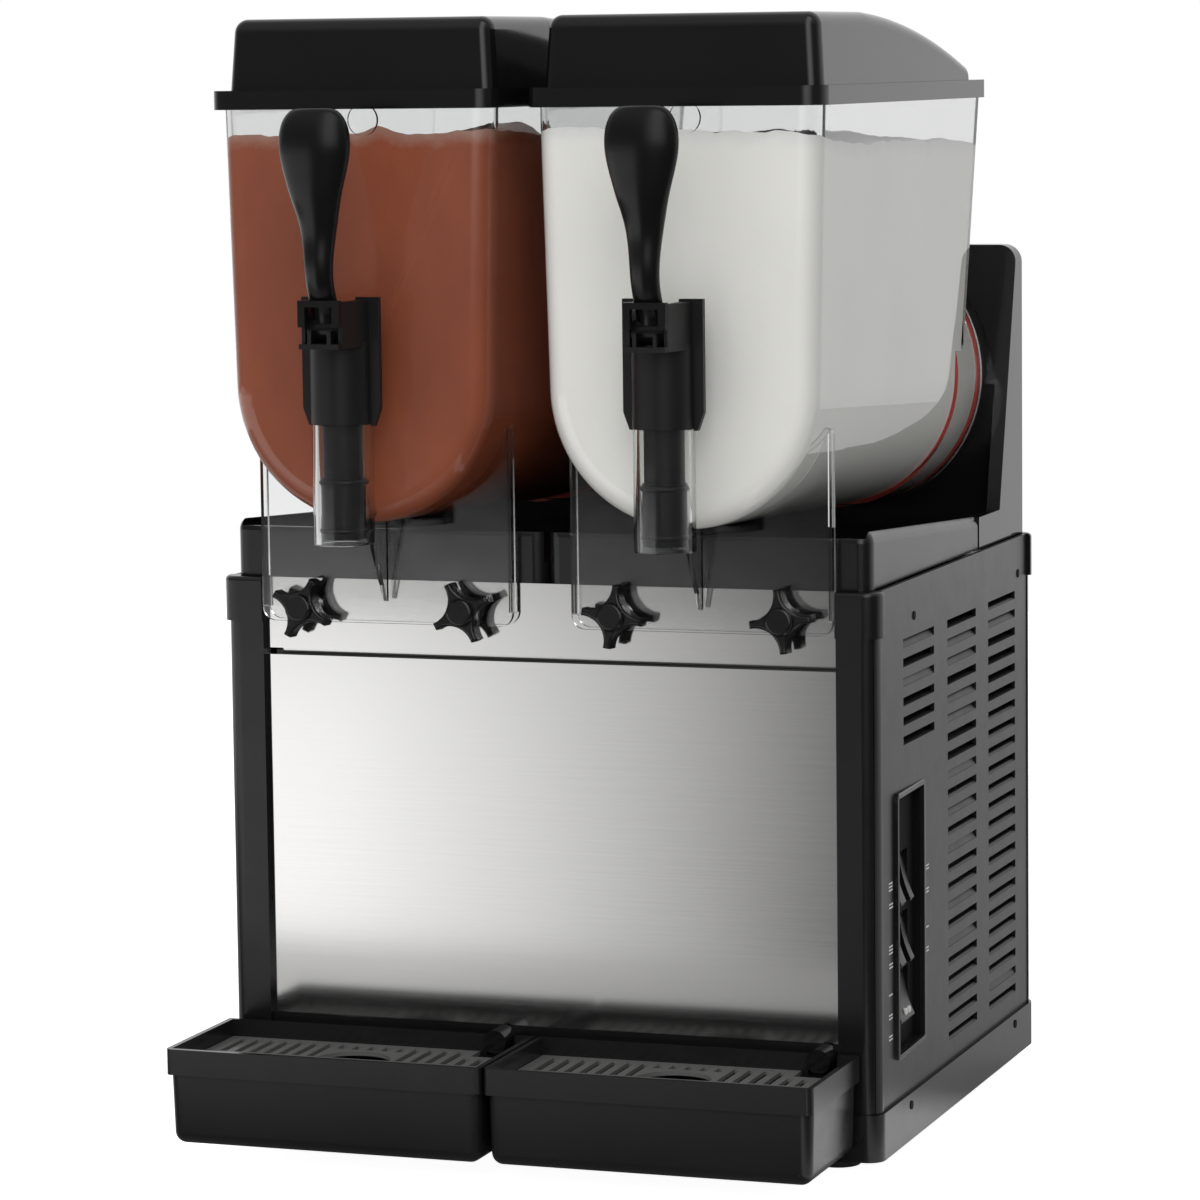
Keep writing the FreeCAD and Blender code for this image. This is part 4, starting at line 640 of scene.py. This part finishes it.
# Generic white marks beside the switches: (y, z, how many short lines)
MARKS = ((-95.2, 165.3, 3), (-94.5, 154.1, 2), (-95.4, 128.6, 3), (-95.2, 119.3, 2), (-95.9, 102.4, 1),
         (-96.2, 89.6, 2), (-96.4, 77.4, 2), (-17.1, 164.0, 2), (-17.3, 150.2, 2), (-17.7, 128.3, 1),
         (-17.9, 115.0, 2))
MARK_HALF, MARK_TALL, MARK_STEP, MARK_DEPTH = 3.6, 0.9, 2.0, (199.3, 199.52)


def switch_marks():
    parts = []
    for y, z, lines in MARKS:
        for line in range(lines):
            low = z + (line - (lines - 1) / 2) * MARK_STEP - MARK_TALL / 2
            parts.append(box_of(MARK_DEPTH, (y - MARK_HALF, y + MARK_HALF), (low, low + MARK_TALL)))
    made("switch_marks", *gathered(parts), WHITE, "machine", "white_plastic")


# Taps

TAP_Y = -188.0
# Each rib's left and right face, measured from the tap's middle, and its top
RIBS = ((-6.9, -4.7, 489.0), (4.9, 7.2, 488.5))
RIB_Y, SHELF = (-220.6, -215.6), 481.3
COIL_LOW, COIL_HIGH, COIL_RADIUS, COIL_TURNS, WIRE_RADIUS = 436.3, 473.7, 7.1, 7, 1.0


def tap_ribs():
    """Two upright ribs on the tap's shelf, seen through the lever's fork."""
    for label, side in SIDES.items():
        centre = BOWL_CENTRE * side
        parts = [box_of((centre + low, centre + high), RIB_Y, (SHELF, top)) for low, high, top in RIBS]
        made("tap_ribs_" + label, *gathered(parts), MOULDING, "bowl_" + label, "black_plastic")


def coil(centre, turn_steps=26, wire_sides=8):
    """A round wire wound upward about the tap's middle."""
    count = COIL_TURNS * turn_steps
    spins = [math.tau * part / wire_sides for part in range(wire_sides)]
    rows = []
    for step in range(count + 1):
        turn = math.tau * step / turn_steps
        rise = COIL_LOW + WIRE_RADIUS + (COIL_HIGH - COIL_LOW - 2 * WIRE_RADIUS) * step / count
        reaches = [COIL_RADIUS + WIRE_RADIUS * math.cos(spin) for spin in spins]
        rows.append([(centre + reach * math.cos(turn), TAP_Y + reach * math.sin(turn),
                      rise + WIRE_RADIUS * math.sin(spin)) for reach, spin in zip(reaches, spins)])
    points, faces = skin(rows)
    return points, faces + [tuple(range(wire_sides)), tuple(range(len(points) - wire_sides, len(points)))]


def tap_springs():
    """The coil that presses each tap's piston down. It rides on the piston whole, and doesn't shorten as the
    lever lifts the piston.
    """
    for label, side in SIDES.items():
        centre = BOWL_CENTRE * side
        thing = made("coil_" + label, *coil(centre), TURNED, "tap_piston_" + label, "bright_steel",
                     SMOOTH_SWEPT)
        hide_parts("tap_spring_" + label)
        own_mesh(thing)


# Setting: floor, backdrop, lamps and camera

FLOOR_HALF, FLOOR_FRONT, FLOOR_BACK = 1600, -720, 2600
PALE, MIRRORED_DARK, BLACK, WHITE_LIGHT = (0.82,) * 3, (0.05,) * 3, (0.0,) * 3, (1.0,) * 3


def floor():
    """A white floor. Gloss sees it dark in front of the machine but for a lit part at the left, and sees
    a lit strip along the machine's right side."""
    shape = loose("floor", [(-FLOOR_HALF, FLOOR_FRONT, 0), (FLOOR_HALF, FLOOR_FRONT, 0),
                            (FLOOR_HALF, FLOOR_BACK, 0), (-FLOOR_HALF, FLOOR_BACK, 0)], [(0, 1, 2, 3)])
    finish = Finish("pale_floor", PALE, 0.9)
    forward, across = finish.along("Y") * -1, finish.along("X")
    mirrored = finish.light_path("Glossy Depth") > 0.5
    lit = forward.clipped(0.28, 0.46) * (1 - across.clipped(-0.3, 0.35))
    # Painted reflection: gloss sees this part of the floor dark, while the camera sees it white
    mirrored_dark_patch = mirrored * forward.clipped(0.1, 0.25) * (1 - lit)
    finish.put("Base Color", finish.blend(mirrored_dark_patch, PALE, MIRRORED_DARK))
    beside = across.clipped(0.2, 0.215) * (1 - across.clipped(0.27, 0.3)) * forward.clipped(-0.12, -0.04)
    glow = finish.light_path("Is Camera Ray").most(mirrored * beside * 0.7)
    finish.put("Emission Color", finish.blend(glow, BLACK, WHITE_LIGHT))
    finish.put("Emission Strength", 0.95)
    shape.data.materials.append(finish.material)


def surroundings():
    """A white studio, with soft light mostly from the front and the left. Gloss sees it dim, but lit
    behind, above, in a band in front to the right, and low on the left."""
    world = bpy.data.worlds.new("studio")
    bpy.context.scene.world = world
    world.use_nodes = True
    world.node_tree.nodes.clear()
    studio = Tree(world.node_tree)
    toward = studio.add("TexCoord", out="Generated")
    x, y, z = (studio.add("SeparateXYZ", None, {0: toward}, out=axis) for axis in "XYZ")
    behind = y.clipped(-0.1, 0.5) * 0.74
    in_front = (y * -1).clipped(0.05, 0.3) * z.clipped(-0.07, 0.01)
    front_band = x.clipped(-0.1, 0.16) * (1 - x.clipped(0.42, 0.75)) * in_front * 1.8
    above = z.clipped(0.2, 0.6) * 0.3
    low_left = (x * -1).clipped(0.265, 0.385) * (z * -1).clipped(0.085, 0.115) * 1.35
    gloss = behind.most(front_band).most(above).most(low_left) + z.clipped(-0.14, -0.02) * 0.12 + 0.04
    soft = (0.58 - y * 0.3 - x * 0.4).most(0.15)
    bounces = studio.light_path("Glossy Depth")
    mirrored, twice = bounces > 0.5, bounces > 1.5
    scattered = studio.light_path("Diffuse Depth") > 0.5
    level = scattered * soft + (1 - scattered) * (mirrored * gloss * (1 - twice * 0.7) + (1 - mirrored))
    glow = studio.add("Background", None, {"Color": WHITE_LIGHT, "Strength": level})
    studio.add("OutputWorld", None, {"Surface": glow})


KEY_PLACE, KEY_AIM, KEY_SIZE, KEY_POWER = Vector((1.3, -3.0, 2.3)), Vector((0, 0, 0.35)), 2.2, 42


def key_lamp():
    """A wide lamp in front, high on the right, which gloss doesn't show."""
    light = bpy.data.lights.new("key", "AREA")
    light.shape = "SQUARE"
    light.size = KEY_SIZE
    light.energy = KEY_POWER
    thing = in_scene("key", light)
    thing.location = KEY_PLACE
    thing.rotation_euler = (KEY_AIM - KEY_PLACE).to_track_quat("-Z", "Y").to_euler()
    thing.visible_glossy = False


# The photograph's viewpoint, found from the body's straight edges: degrees to the left, down and rolled
CAMERA_TURN, CAMERA_PLACE = (19.4406, 6.5212, -0.7028), (0.94304, -2.69664, 0.64155)
FOCAL_PIXELS, PHOTO_PIXELS, SENSOR = 4774.15, 1200, 36.0


def camera():
    yaw, pitch, roll = (math.radians(angle) for angle in CAMERA_TURN)
    ahead = Vector((-math.sin(yaw) * math.cos(pitch), math.cos(yaw) * math.cos(pitch), -math.sin(pitch)))
    level = ahead.cross(Vector((0, 0, 1))).normalized()
    above = level.cross(ahead)
    right = level * math.cos(roll) + above * math.sin(roll)
    up = above * math.cos(roll) - level * math.sin(roll)
    lens = bpy.data.cameras.new("camera")
    lens.sensor_width = SENSOR
    lens.lens = FOCAL_PIXELS / PHOTO_PIXELS * SENSOR
    lens.clip_start, lens.clip_end = 0.05, 60
    thing = in_scene("camera", lens)
    turn = Matrix((right, up, -ahead)).transposed().to_4x4()
    thing.matrix_world = Matrix.Translation(Vector(CAMERA_PLACE)) @ turn
    bpy.context.scene.camera = thing


dress_nodes()
for label, side in SIDES.items():
    frozen_drink(label, side)
all_louvres()
switch_frame()
rockers()
switch_marks()
tap_ribs()
tap_springs()
floor()
surroundings()
key_lamp()
camera()
bpy.context.scene.view_settings.view_transform = "Standard"

bpy.context.view_layer.update()
